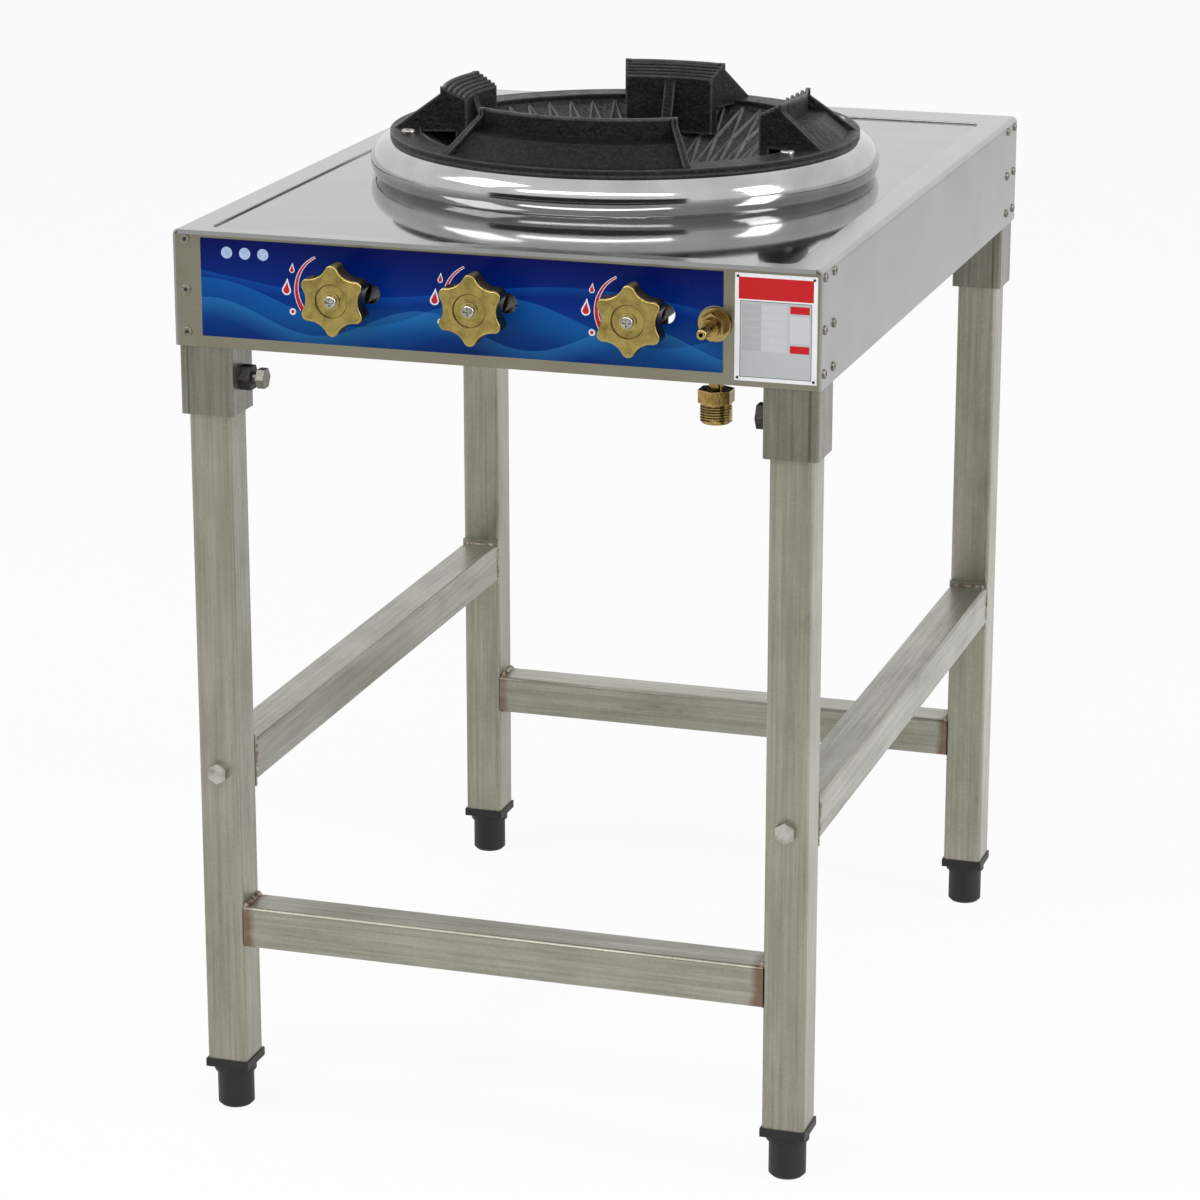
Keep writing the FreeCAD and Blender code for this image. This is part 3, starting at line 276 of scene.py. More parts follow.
# %% Stainless finishes
def sheet_steel(name, tone, shade, rough, stretch):
    """Rolled sheet: stretch draws the streaks out along one axis."""
    made, tree, shader, place = material(name, Metallic=1.0)
    turned = add(tree, "Mapping", {"Vector": place, "Scale": stretch})
    streak = add(tree, "TexNoise", {"Vector": turned, "Scale": 1 / (1.0 * MM), "Detail": 4.0})
    smear = add(tree, "TexNoise", {"Vector": place, "Scale": 1 / (70 * MM), "Detail": 5.0, "Roughness": 0.6})
    tint = add(tree, "ValToRGB", {0: smear}, stops=[(0.3, shade), (0.62, tone)])
    tree.links.new(tint, shader.inputs["Base Color"])
    mixed = add(tree, "Math", {0: streak, 1: 0.35, 2: smear}, operation="MULTIPLY_ADD")
    dull = add(tree, "MapRange", {0: mixed, 1: 0.3, 2: 1.0, 3: rough * 0.6, 4: rough * 1.5})
    tree.links.new(dull, shader.inputs["Roughness"])
    bump = add(tree, "Bump", {"Height": streak, "Strength": 0.05, "Distance": 0.1 * MM})
    tree.links.new(bump, shader.inputs["Normal"])
    return made


# Along the front-to-back run of the cover, and across on the front and rear panels
cover_steel = sheet_steel("rolled_stainless_cover", "#a9aaa8", "#9d9e9c", 0.16, (1, 0.02, 1))
# The panels wear a darker, warmer copy of the cover's steel: painted shade
panel_steel_painted_shade = sheet_steel("rolled_stainless_panel_painted_shade", "#989382", "#878270", 0.24, (0.02, 1, 1))
deck_steel = sheet_steel("mirror_stainless_deck", "#9b9d9c", "#919392", 0.06, (1, 0.02, 1))
wear(cover_steel, "casing_cover")
wear(panel_steel_painted_shade, "front_panel", "rear_panel")
wear(deck_steel, "deck_plate")

# %% [markdown]
# ## Polished ring
# The ring was spun on a lathe and buffed, so what little roughness it has runs round it. A noise on
# the height and radius alone gives rings that follow the lathe. Rail bolts, spindles and small
# screws are bright zinc, in a plainer finish of their own.

# %% Spun polish
burner = (Vector(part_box("burner_bowl")[0]) + Vector(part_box("burner_bowl")[1])) / 2
made, tree, shader, place = material("spun_polished_stainless", Metallic=1.0)
turned = add(tree, "Mapping", {"Vector": place, "Location": (-burner.x, -burner.y, 0)})
axes = add(tree, "SeparateXYZ", {0: turned}, out=None)
flat = add(tree, "CombineXYZ", {0: axes[0], 1: axes[1]})
radius = add(tree, "VectorMath", {0: flat}, operation="LENGTH", out="Value")
lathe = add(tree, "CombineXYZ", {0: radius, 2: axes[2]})
lines = add(tree, "TexNoise", {"Vector": lathe, "Scale": 1 / (1.5 * MM), "Detail": 3.0})
smear = add(tree, "TexNoise", {"Vector": place, "Scale": 1 / (45 * MM), "Detail": 4.0})
tint = add(tree, "ValToRGB", {0: smear}, stops=[(0.3, "#a9a9a7"), (0.65, "#bfbfbd")])
tree.links.new(tint, shader.inputs["Base Color"])
dull = add(tree, "MapRange", {0: lines, 1: 0.25, 2: 0.75, 3: 0.05, 4: 0.16})
tree.links.new(dull, shader.inputs["Roughness"])
bump = add(tree, "Bump", {"Height": lines, "Strength": 0.06, "Distance": 0.1 * MM})
tree.links.new(bump, shader.inputs["Normal"])
wear(made, "polished_ring")

# %% Bright zinc
sides = ("left", "centre", "right")
made, tree, shader, place = material("zinc_plated_steel", Metallic=1.0)
grain = add(tree, "TexNoise", {"Vector": place, "Scale": 1 / (7 * MM), "Detail": 4.0})
tint = add(tree, "ValToRGB", {0: grain}, stops=[(0.3, "#8f8d84"), (0.65, "#bdbbb4")])
tree.links.new(tint, shader.inputs["Base Color"])
dull = add(tree, "MapRange", {0: grain, 1: 0.3, 2: 0.7, 3: 0.3, 4: 0.16})
tree.links.new(dull, shader.inputs["Roughness"])
wear(made, "side_rail_bolts", "side_rail_nuts", "base_bolts", "pot_support_screws",
     *[kind + side for kind in ("spindle_", "knob_screw_") for side in sides])

# %% [markdown]
# ## Galvanised tube
# Legs, sockets and rails are square tube from galvanised strip. Zinc looks softly clouded, olive
# grey, with fine lines from the rolls that formed the tube and a few dull stains. The lines follow
# the tube, so there is one copy of the finish for each direction. The sockets get a darker copy,
# with the seam of the tube showing, and the cross rails are browned by rust next to their
# welds. The clear film that keeps the zinc from whitening is a thin coat, which shines where a face
# is seen at a flat angle: on the tops of the rails and the right flanks.

# %% Galvanised finishes
RUST_FADE = 14


def galvanised(name, along, dark, pale, rust_from=None, seam=None):
    """Zinc on a tube that runs along an axis; rust and seam are mm from the middle plane of the range."""
    made, tree, shader, place = material(
        name, Metallic=0.85, Coat_Weight=0.6, Coat_Roughness=0.25)
    axes = add(tree, "SeparateXYZ", {0: place}, out=None)
    turned, drawn = (
        add(tree, "Mapping", {"Vector": place, "Scale": [pull if a == along else 1.0 for a in "XYZ"]})
        for pull in (0.02, 0.4))
    streak, cloud = (
        add(tree, "TexNoise", {"Vector": way, "Scale": 1 / (size * MM), "Detail": detail, "Roughness": 0.6})
        for way, size, detail in ((turned, 2.5, 5.0), (drawn, 30, 8.0)))
    speck = add(tree, "TexNoise", {"Vector": place, "Scale": 1 / (2 * MM), "Detail": 4.0})
    mixed = add(tree, "Math", {0: streak, 1: 0.4, 2: 0.06}, operation="MULTIPLY_ADD")
    mixed = add(tree, "Math", {0: cloud, 1: 0.35, 2: mixed}, operation="MULTIPLY_ADD")
    mixed = add(tree, "Math", {0: speck, 1: 0.13, 2: mixed}, operation="MULTIPLY_ADD")
    tint = add(tree, "ValToRGB", {0: mixed}, stops=[(0.38, dark), (0.62, pale)])
    stain = add(tree, "MapRange", {0: cloud, 1: 0.36, 2: 0.26, 3: 0.0, 4: 0.35})
    tint = add(tree, "Mix", {0: stain, 6: tint, 7: colour("#57534a")}, data_type="RGBA", out=2)
    reach = add(tree, "Math", {0: axes[0]}, operation="ABSOLUTE")
    if seam:
        off = add(tree, "Math", {0: reach, 1: seam * MM}, operation="SUBTRACT")
        off = add(tree, "Math", {0: off}, operation="ABSOLUTE")
        line = add(tree, "MapRange", {0: off, 1: 1.2 * MM, 2: 0.4 * MM, 3: 0.0, 4: 0.6})
        tint = add(tree, "Mix", {0: line, 6: tint, 7: colour("#3f3b31")}, data_type="RGBA", out=2)
    if rust_from:
        rust_full = rust_from + RUST_FADE
        near = add(tree, "MapRange", {0: reach, 1: rust_from * MM, 2: rust_full * MM, 3: -0.35, 4: 0.3})
        brown = add(tree, "Math", {0: near, 1: cloud}, operation="ADD")
        brown = add(tree, "MapRange", {0: brown, 1: 0.55, 2: 0.8, 3: 0.0, 4: 0.8})
        tint = add(tree, "Mix", {0: brown, 6: tint, 7: colour("#6a4a2c")}, data_type="RGBA", out=2)
    tree.links.new(tint, shader.inputs["Base Color"])
    dull = add(tree, "MapRange", {0: mixed, 1: 0.35, 2: 0.65, 3: 0.52, 4: 0.34})
    tree.links.new(dull, shader.inputs["Roughness"])
    bump = add(tree, "Bump", {"Height": mixed, "Strength": 0.2, "Distance": 0.25 * MM})
    tree.links.new(bump, shader.inputs["Normal"])
    return made


corners = ("front_left", "front_right", "rear_left", "rear_right")
socket_zinc = galvanised("galvanised_socket_tube", "Z", "#656356", "#8f8d7f", seam=217.5)
leg_zinc = galvanised("galvanised_leg_tube", "Z", "#858374", "#a9a798")
side_zinc = galvanised("galvanised_side_tube", "Y", "#7f7e72", "#a8a79b")
cross_zinc = galvanised("galvanised_cross_tube", "X", "#868576", "#adac9f", rust_from=172)
wear(socket_zinc, *["leg_socket_" + c for c in corners])
wear(leg_zinc, *["leg_" + c for c in corners])
wear(side_zinc, "side_rail_left", "side_rail_right")
wear(cross_zinc, "cross_rail_front", "cross_rail_rear")

# %% [markdown]
# ## Cast iron
# The pot support, bowl and burner are sand castings with a black heat-proof finish. Sand leaves a
# fine pebbled skin, about 2 mm, with larger soft lumps under it. Outer edges are painted paler, as
# rubbed wear and as a painted highlight: the Ambient Occlusion node, turned inwards, finds them,
# since a point near an outer edge has another face close behind it. The Bevel node rounds the
# shading of the sharp solid edges, as a casting's are. The bowl wears a lighter copy of the iron,
# a painted highlight for the glint on its wall and ribs.

# %% Cast iron
def cast_iron(name, dark, pale, rub_and_highlight, grit, rough, shine):
    """Black casting: grit is the size of the pebbles in mm."""
    made, tree, shader, place = material(name, Specular_IOR_Level=shine)
    grain = add(tree, "TexNoise", {
        "Vector": place, "Scale": 1 / (grit * MM), "Detail": 5.0, "Roughness": 0.7})
    lump = add(tree, "TexNoise", {"Vector": place, "Scale": 1 / (14 * MM), "Detail": 3.0})
    skin = add(tree, "Math", {0: grain, 1: 0.7, 2: lump}, operation="MULTIPLY_ADD")
    tint = add(tree, "ValToRGB", {0: grain}, stops=[(0.42, dark), (0.64, pale)])
    # Outer edges are painted paler: rubbed wear, and a painted highlight along them
    thin = add(tree, "AmbientOcclusion", {"Distance": 2.5 * MM}, out="AO", inside=True, only_local=True,
               samples=6)
    edge = add(tree, "MapRange", {0: thin, 1: 0.85, 2: 0.5, 3: 0.0, 4: 0.7})
    edge = add(tree, "Math", {0: edge, 1: skin}, operation="MULTIPLY")
    tint = add(tree, "Mix", {0: edge, 6: tint, 7: colour(rub_and_highlight)}, data_type="RGBA", out=2)
    tree.links.new(tint, shader.inputs["Base Color"])
    dull = add(tree, "MapRange", {0: skin, 1: 0.6, 2: 1.1, 3: rough * 1.25, 4: rough * 0.8})
    tree.links.new(dull, shader.inputs["Roughness"])
    rounded = add(tree, "Bevel", {"Radius": 1.0 * MM}, samples=4)
    bump = add(tree, "Bump", {"Height": skin, "Strength": 1.0, "Distance": 2.4 * MM, "Normal": rounded})
    tree.links.new(bump, shader.inputs["Normal"])
    return made


support_iron = cast_iron("black_cast_iron", "#060606", "#252320", "#6e6d68", 2.4, 0.33, 0.15)
# The bowl's iron is painted lighter than the support's: a painted highlight for the glint on its wall and
# ribs
bowl_iron_painted_highlight = cast_iron("black_cast_iron_bowl_painted_highlight", "#1c1c1a", "#4c4b47", "#96958f", 2.2, 0.3, 0.5)
wear(support_iron, "pot_support", "burner_head", "burner_cap", "burner_base")
wear(bowl_iron_painted_highlight, "burner_bowl")

# %% [markdown]
# ## Ribs in the bowl
# The wall of the bowl carries a diamond lattice of low ribs that spread the heat. The easy way to a
# lattice is a ring of squares: poke each square into four triangles, dissolve the old square edges,
# and diamonds are left. A Wireframe modifier then turns their edges into ribs.

# %% Diamond ribs
RIBS_ROUND, RIB_ROWS, RIB_T = 54, 4, 4.4 * MM
WALL_LOW_R, WALL_HIGH_R = 96.0 * MM, 147.0 * MM
WALL_LOW_Z, WALL_HIGH_Z = 624.0 * MM, 664.0 * MM
wall_middle = (burner.x, burner.y, (WALL_LOW_Z + WALL_HIGH_Z) / 2)
begin()
bpy.ops.mesh.primitive_cone_add(vertices=RIBS_ROUND, radius1=WALL_LOW_R, radius2=WALL_HIGH_R,
                                depth=WALL_HIGH_Z - WALL_LOW_Z, end_fill_type="NOTHING", location=wall_middle)
edit()
pick("edges", lambda p: abs(p.z) < 1 * MM)
bpy.ops.mesh.subdivide(number_cuts=RIB_ROWS - 1)
bpy.ops.mesh.select_mode(type="FACE")
bpy.ops.mesh.select_all(action="SELECT")
bpy.ops.mesh.poke()
mesh = bmesh.from_edit_mesh(bpy.context.object.data)
centres = {v for v in mesh.verts if len(v.link_edges) == 4 and all(len(f.verts) == 3 for f in v.link_faces)}
for edge in mesh.edges:
    edge.select_set(not edge.is_boundary and centres.isdisjoint(edge.verts))
bpy.ops.mesh.select_mode(type="EDGE")
bmesh.update_edit_mesh(bpy.context.object.data)
bpy.ops.mesh.dissolve_edges(use_verts=False)
bpy.ops.object.mode_set(mode="OBJECT")
ribs = bpy.context.object.modifiers.new("ribs", "WIREFRAME")
ribs.thickness = RIB_T
ribs.use_even_offset = False
ribs.use_boundary = False
apply_all()
bowl_ribs = settle("bowl_ribs")
wear(bowl_iron_painted_highlight, "bowl_ribs")
print("bowl ribs:", len(bowl_ribs.data.polygons), "faces")

# %% [markdown]
# ## Brass
# The handwheels are sand-cast brass, bright with handling smears on the front. Faces not turned to
# the front are painted darker, a painted shade; the object normal tells the two apart. The rims are
# painted bright, as rubbed wear and as a painted highlight. The gas fittings were turned from bar
# and have tarnished in patches.

# %% Brass finishes
def brass(name, bright, dark, side, rub_and_highlight, rough):
    """Brass bright to dark on faces to the front, painted shade from dark to side on the others, and edges
    painted bright as rubbed wear and painted highlight.
    """
    made, tree, shader, place = material(name, Metallic=1.0)
    normal = add(tree, "TexCoord", out="Normal")
    facing = add(tree, "SeparateXYZ", {0: normal}, out=1)
    front = add(tree, "MapRange", {0: facing, 1: -0.35, 2: -0.9, 3: 0.0, 4: 1.0})
    patch = add(tree, "TexNoise", {"Vector": place, "Scale": 1 / (9 * MM), "Detail": 6.0, "Roughness": 0.65})
    grain = add(tree, "TexNoise", {"Vector": place, "Scale": 1 / (1.2 * MM), "Detail": 3.0})
    skin = add(tree, "ValToRGB", {0: patch}, stops=[(0.3, dark), (0.58, bright)])
    # Faces not turned to the front get a painted shade, from the dark colour to the side colour
    shaded_flank = add(tree, "ValToRGB", {0: patch}, stops=[(0.35, side), (0.75, dark)])
    tint = add(tree, "Mix", {0: front, 6: shaded_flank, 7: skin}, data_type="RGBA", out=2)
    # Rims and outer edges are painted bright: rubbed wear, and a painted highlight along them
    thin = add(tree, "AmbientOcclusion", {"Distance": 1.6 * MM}, out="AO", inside=True, only_local=True,
               samples=6)
    edge = add(tree, "MapRange", {0: thin, 1: 0.85, 2: 0.5, 3: 0.0, 4: 0.75})
    tint = add(tree, "Mix", {0: edge, 6: tint, 7: colour(rub_and_highlight)}, data_type="RGBA", out=2)
    tree.links.new(tint, shader.inputs["Base Color"])
    dull = add(tree, "MapRange", {0: patch, 1: 0.3, 2: 0.7, 3: rough * 1.5, 4: rough})
    tree.links.new(dull, shader.inputs["Roughness"])
    bump = add(tree, "Bump", {"Height": grain, "Strength": 0.25, "Distance": 0.3 * MM})
    tree.links.new(bump, shader.inputs["Normal"])
    return made


# On the handwheels the side colour is a deep painted shade, and the rim colour a painted highlight as well as
# wear
knob_brass_shade_and_highlight = brass("cast_brass_shade_and_highlight", "#b9a45f", "#8a7740", "#3d3722", "#d9cd97", 0.26)
wear(knob_brass_shade_and_highlight, *["knob_" + side for side in sides])
turned_brass = brass("turned_brass", "#b39457", "#75602f", "#7d6736", "#d8bd80", 0.17)
wear(turned_brass, "torch_nipple", "gas_inlet", "injectors")

# %% [markdown]
# ## Pipe thread
# The inlet ends in a male pipe thread of 14 turns to the inch. A triangle swept by a Screw
# modifier, with the pitch as its rise, makes the ridge, and its two open ends are filled
# afterwards.

# %% Thread on the gas inlet
inlet_low, inlet_high = (Vector(corner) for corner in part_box("gas_inlet"))
inlet_mid = (inlet_low + inlet_high) / 2
INCH, TURNS_PER_INCH = 25.4 * MM, 14
THREAD_PITCH, THREAD_TURNS, THREAD_STEPS = INCH / TURNS_PER_INCH, 6, 40
THREAD_R, RIDGE_R, THREAD_UP = 10.4 * MM, 0.75 * MM, 1.6 * MM
begin()
bpy.ops.mesh.primitive_circle_add(vertices=3, radius=RIDGE_R, rotation=(QUARTER, 0, 0))
bpy.ops.object.transform_apply(rotation=True)
edit()
bpy.ops.mesh.select_all(action="SELECT")
bpy.ops.transform.translate(value=(THREAD_R, 0, 0))
bpy.ops.object.mode_set(mode="OBJECT")
sweep = bpy.context.object.modifiers.new("sweep", "SCREW")
sweep.screw_offset = THREAD_PITCH
sweep.iterations = THREAD_TURNS
sweep.steps = sweep.render_steps = THREAD_STEPS
sweep.use_merge_vertices = False
apply_all()
edit()
bpy.ops.mesh.select_all(action="SELECT")
bpy.ops.mesh.fill_holes(sides=3)
bpy.ops.mesh.select_all(action="SELECT")
bpy.ops.mesh.normals_make_consistent(inside=False)
bpy.ops.object.mode_set(mode="OBJECT")
bpy.context.object.location = (inlet_mid.x, inlet_mid.y, inlet_low.z + THREAD_UP)
inlet_thread = settle("inlet_thread", smooth=30)
wear(turned_brass, "inlet_thread")

# %% [markdown]
# ## Welds
# The cross rails are arc-welded to the legs along their top and bottom edges, and the side rails
# all round to their end plates. A bead is a rod with rounded ends, cut into short lengths, which a
# cloud texture pushes about into the uneven ripples of a hand-made weld. Bare steel in the bead is
# bright, with rust between.

# %% One weld bead
clouds = bpy.data.textures.new("weld_ripples", "CLOUDS")
clouds.noise_scale = 4.5 * MM
BEAD_SIDES, BEAD_CUTS = 10, 16


def weld(place, axis, length, thick):
    """One bead along an axis, with its middle at a place."""
    begin()
    turn = {"X": (0, QUARTER, 0), "Y": (QUARTER, 0, 0), "Z": (0, 0, 0)}[axis]
    bpy.ops.mesh.primitive_cylinder_add(vertices=BEAD_SIDES, radius=thick, depth=length, location=place,
                                        rotation=turn)
    bpy.ops.object.transform_apply(location=False, rotation=True)
    along = "XYZ".index(axis)
    edit()
    bpy.ops.mesh.select_mode(type="EDGE")
    pick("edges", lambda p: abs(p[along]) > length * 0.49)
    bpy.ops.mesh.bevel(offset=thick * 0.6, segments=3, affect="EDGES")
    pick("edges", lambda p: abs(p[along]) < 0.1 * MM)
    bpy.ops.mesh.subdivide(number_cuts=BEAD_CUTS)
    bpy.ops.object.mode_set(mode="OBJECT")
    bpy.ops.object.transform_apply(location=True)
    ripple = bpy.context.object.modifiers.new("ripple", "DISPLACE")
    ripple.texture = clouds
    ripple.texture_coords = "GLOBAL"
    ripple.strength = thick
    ripple.mid_level = 0.5
    apply_all()
    return bpy.context.object


# %% All weld beads
END_PLATE, TUBE_HALF = 2.5 * MM, 15 * MM
CROSS_IN, SIDE_IN = 0.8 * MM, 0.4 * MM
# Length and thickness of each kind of bead
CROSS_TOP, CROSS_UNDER = (28 * MM, 2.4 * MM), (20 * MM, 2.0 * MM)
SIDE_FLAT, SIDE_UPRIGHT = (25 * MM, 1.6 * MM), (24 * MM, 1.2 * MM)
beads = []
for name in ("cross_rail_front", "cross_rail_rear"):
    low, high = (Vector(corner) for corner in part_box(name))
    middle = (low + high) / 2
    for x, inward in ((low.x, 1), (high.x, -1)):
        for z, size in ((high.z, CROSS_TOP), (low.z, CROSS_UNDER)):
            beads.append(weld((x + inward * CROSS_IN, middle.y, z), "Y", *size))
for name in ("side_rail_left", "side_rail_right"):
    low, high = (Vector(corner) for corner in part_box(name))
    middle = (low + high) / 2
    for y in (low.y + END_PLATE, high.y - END_PLATE):
        for turn in (-1, 1):
            beads.append(weld((middle.x, y, middle.z + turn * TUBE_HALF), "X", *SIDE_FLAT))
            beads.append(weld((middle.x + turn * (TUBE_HALF - SIDE_IN), y, middle.z), "Z", *SIDE_UPRIGHT))
begin()
for bead in beads:
    bead.select_set(True)
    bpy.context.view_layer.objects.active = bead
bpy.ops.object.join()
weld_beads = settle("weld_beads")
print(len(beads), "weld beads,", len(weld_beads.data.polygons), "faces")

# %% Weld steel
made, tree, shader, place = material("rusted_weld_steel", Metallic=0.8)
spot = add(tree, "TexNoise", {"Vector": place, "Scale": 1 / (6 * MM), "Detail": 6.0, "Roughness": 0.7})
tint = add(tree, "ValToRGB", {0: spot}, stops=[
    (0.4, "#b9b7af"), (0.52, "#8f8a7c"), (0.6, "#79593a"), (0.72, "#5d3f26")])
tree.links.new(tint, shader.inputs["Base Color"])
dull = add(tree, "MapRange", {0: spot, 1: 0.35, 2: 0.65, 3: 0.25, 4: 0.8})
tree.links.new(dull, shader.inputs["Roughness"])
bump = add(tree, "Bump", {"Height": spot, "Strength": 0.5, "Distance": 0.5 * MM})
tree.links.new(bump, shader.inputs["Normal"])
wear(made, "weld_beads")

# %% [markdown]
# ## Rivets and pins
# A blind rivet keeps the broken end of its mandrel in the hollow of its head. One end is a short
# cylinder whose top is inset and pulled up to a torn tip, and it is copied to every rivet. The ends
# are dark steel, which also paints the shade in the hollow of each head. The plate at the right is
# held by four small pins, made in the same way.

# %% Mandrel ends and plate pins
def stub(radius, height, tip):
    """A short pin along Z whose top is drawn to a tip."""
    begin()
    bpy.ops.mesh.primitive_cylinder_add(vertices=12, radius=radius, depth=height, location=(0, 0, 0))
    edit()
    bpy.ops.mesh.select_mode(type="FACE")
    pick("faces", lambda p: p.z > height * 0.4)
    bpy.ops.mesh.inset(thickness=radius * 0.4)
    bpy.ops.transform.translate(value=(radius * 0.1, 0, tip))
    bpy.ops.object.mode_set(mode="OBJECT")
    return bpy.context.object


FACING = {"front": (QUARTER, 0, 0), "rear": (-QUARTER, 0, 0),
          "left": (0, -QUARTER, 0), "right": (0, QUARTER, 0)}
# Places of the rivets: below the top of the casing, and in from its sides, front and rear
RIVETS_DOWN, RIVET_SIDE_IN, RIVET_END_IN = (6.5, 41.0, 70.0), 8.7 * MM, (8 * MM, 31 * MM)
LIP, STUB_OUT = 1.5 * MM, 0.65 * MM
casing_low, casing_high = (Vector(corner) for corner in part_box("casing_cover"))
front_y, rear_y = casing_low.y + LIP, casing_high.y - LIP
left_x, right_x = casing_low.x + RIVET_SIDE_IN, casing_high.x - RIVET_SIDE_IN
spots = []
for down in RIVETS_DOWN:
    z = casing_high.z - down * MM
    spots += [((x, rear_y + STUB_OUT, z), FACING["rear"]) for x in (left_x, right_x)]
    spots.append(((left_x, front_y - STUB_OUT, z), FACING["front"]))
    for inset in RIVET_END_IN:
        for y in (front_y + inset, rear_y - inset):
            spots.append(((casing_low.x - STUB_OUT, y, z), FACING["left"]))
            spots.append(((casing_high.x + STUB_OUT, y, z), FACING["right"]))
mandrels = len(spots)
mandrels_and_hollow_shade = copies(stub(1.15 * MM, 0.5 * MM, 0.12 * MM), spots, "mandrels_and_hollow_shade")

plate_low, plate_high = (Vector(corner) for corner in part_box("rating_plate"))
PIN_IN = 2 * MM
spots = [((x, plate_low.y, z), FACING["front"]) for x in (plate_low.x + PIN_IN, plate_high.x - PIN_IN)
         for z in (plate_low.z + PIN_IN, plate_high.z - PIN_IN)]
plate_pins = copies(stub(0.9 * MM, 0.6 * MM, 0.15 * MM), spots, "plate_pins")
print(mandrels, "mandrel ends and", len(spots), "pins")

# %% [markdown]
# ## Dark and painted metals, moulded feet
# These small parts need only a cloud of grain in colour and roughness, each at its own scale:
# rivets are dull aluminium, the welded nuts are blackened, the feet are moulded black
# polypropylene, and the pipes inside are enamelled. The valve bodies are painted near black, a
# painted shade for the slots in the fascia that they are seen through.

# %% Dark and painted metals, moulded feet
def grained(name, dark, pale, size, rough, metal, depth):
    """A plain grain of a size in mm; depth is the strength of its bump."""
    made, tree, shader, place = material(name, Metallic=metal)
    grain = add(tree, "TexNoise", {"Vector": place, "Scale": 1 / (size * MM), "Detail": 5.0})
    tint = add(tree, "ValToRGB", {0: grain}, stops=[(0.35, dark), (0.68, pale)])
    tree.links.new(tint, shader.inputs["Base Color"])
    dull = add(tree, "MapRange", {0: grain, 1: 0.3, 2: 0.7, 3: rough * 0.8, 4: rough * 1.25})
    tree.links.new(dull, shader.inputs["Roughness"])
    bump = add(tree, "Bump", {"Height": grain, "Strength": depth, "Distance": 0.3 * MM})
    tree.links.new(bump, shader.inputs["Normal"])
    return made


# Aluminium rivets: soft, dull, a little scuffed
wear(grained("aluminium_rivet", "#7b786d", "#a19e93", 3.0, 0.4, 1.0, 0.1), "panel_rivets", "side_rivets")
# Dull zinc of the clamp bolts: old plating gone grey
wear(grained("dull_zinc_bolt", "#6f6d64", "#96948b", 3.0, 0.38, 1.0, 0.15), "clamp_bolts", "clamp_set_screw")
# Blackened steel: thin oxide, dull with brighter rubbed specks; on the mandrel ends it is also the painted
# shade of the rivet hollows
wear(grained("blackened_steel", "#1d1c1a", "#464440", 2.0, 0.45, 0.6, 0.2),
     "clamp_nuts", "mandrels_and_hollow_shade", "plate_pins")
# Valve bodies: near-black brown, a painted shade for the dark slots in the fascia
wear(grained("valve_brass_painted_shade", "#1c1812", "#4b3f28", 4.0, 0.5, 0.8, 0.2),
     *["valve_body_" + side for side in sides])
# Polypropylene: dyed black, spark-eroded mould grain
wear(grained("moulded_polypropylene", "#090909", "#151515", 1.6, 0.5, 0.0, 0.3),
     *["foot_" + c for c in corners])
# Grey enamel on gas pipe: smooth, thick paint
wear(grained("grey_pipe_enamel", "#6a6c6c", "#838585", 6.0, 0.4, 0.0, 0.1),
     "gas_manifold", "manifold_brackets", "burner_beams", "mixing_tube_left", "mixing_tube_centre")
# Bright pressed steel of the air shutters
wear(grained("pressed_steel", "#8b8a86", "#b5b4b0", 8.0, 0.35, 1.0, 0.1),
     "air_shutter_left", "air_shutter_centre")
# Copper tube: drawn, lightly tarnished
wear(grained("drawn_copper", "#8a4f34", "#c27b56", 7.0, 0.3, 1.0, 0.1), "torch_tube")

# %% [markdown]
# ## Printed front
# The fascia is a glossy print: deep blue at the top running to a clearer blue, crossed by pale
# waves. A wave is the gap between a point's height and a sine of its place along the front. Beside
# each handwheel a red arc that grows thicker shows the way to turn: it is a band of radius whose
# width follows the angle. The print repeats evenly along the front, whatever the places of the
# handwheels.

# %% Blue ground and waves
# Each wave: length in mm, middle and swing as shares of the height, shift, fading band, colour and strength
WAVES = ((210, 0.40, 0.20, 1.3, 0.34, "#1c78c0", 0.36), (150, 0.24, 0.16, 3.6, 0.22, "#3f9ad6", 0.24),
         (320, 0.62, 0.12, 0.4, 0.10, "#0f5cae", 0.40))
made, tree, shader, place = material("printed_blue_fascia", Specular_IOR_Level=0.1)
fascia_low, fascia_high = (Vector(corner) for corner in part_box("control_fascia"))
axes = add(tree, "SeparateXYZ", {0: place}, out=None)
height = add(tree, "MapRange", {0: axes[2], 1: fascia_low.z, 2: fascia_high.z, 3: 0.0, 4: 1.0})
paint = add(tree, "ValToRGB", {0: height}, stops=[
    (0.0, "#00286c"), (0.3, "#013b80"), (0.55, "#00277a"), (1.0, "#010a50")])
for length, lift, swing, shift, band, shade, strength in WAVES:
    per_metre = 2 * math.pi / (length * MM)
    phase = add(tree, "Math", {0: axes[0], 1: per_metre, 2: shift}, operation="MULTIPLY_ADD")
    swell = add(tree, "Math", {0: phase}, operation="SINE")
    crest = add(tree, "Math", {0: swell, 1: swing, 2: lift}, operation="MULTIPLY_ADD")
    under = add(tree, "Math", {0: crest, 1: height}, operation="SUBTRACT")
    fade = add(tree, "MapRange", {0: under, 1: 0.0, 2: band, 3: strength, 4: 0.0})
    edge = add(tree, "Math", {0: under, 1: 0.0}, operation="GREATER_THAN")
    share = add(tree, "Math", {0: fade, 1: edge}, operation="MULTIPLY")
    paint = add(tree, "Mix", {0: share, 6: paint, 7: colour(shade)}, data_type="RGBA", out=2)
print("ground and", len(WAVES), "waves")

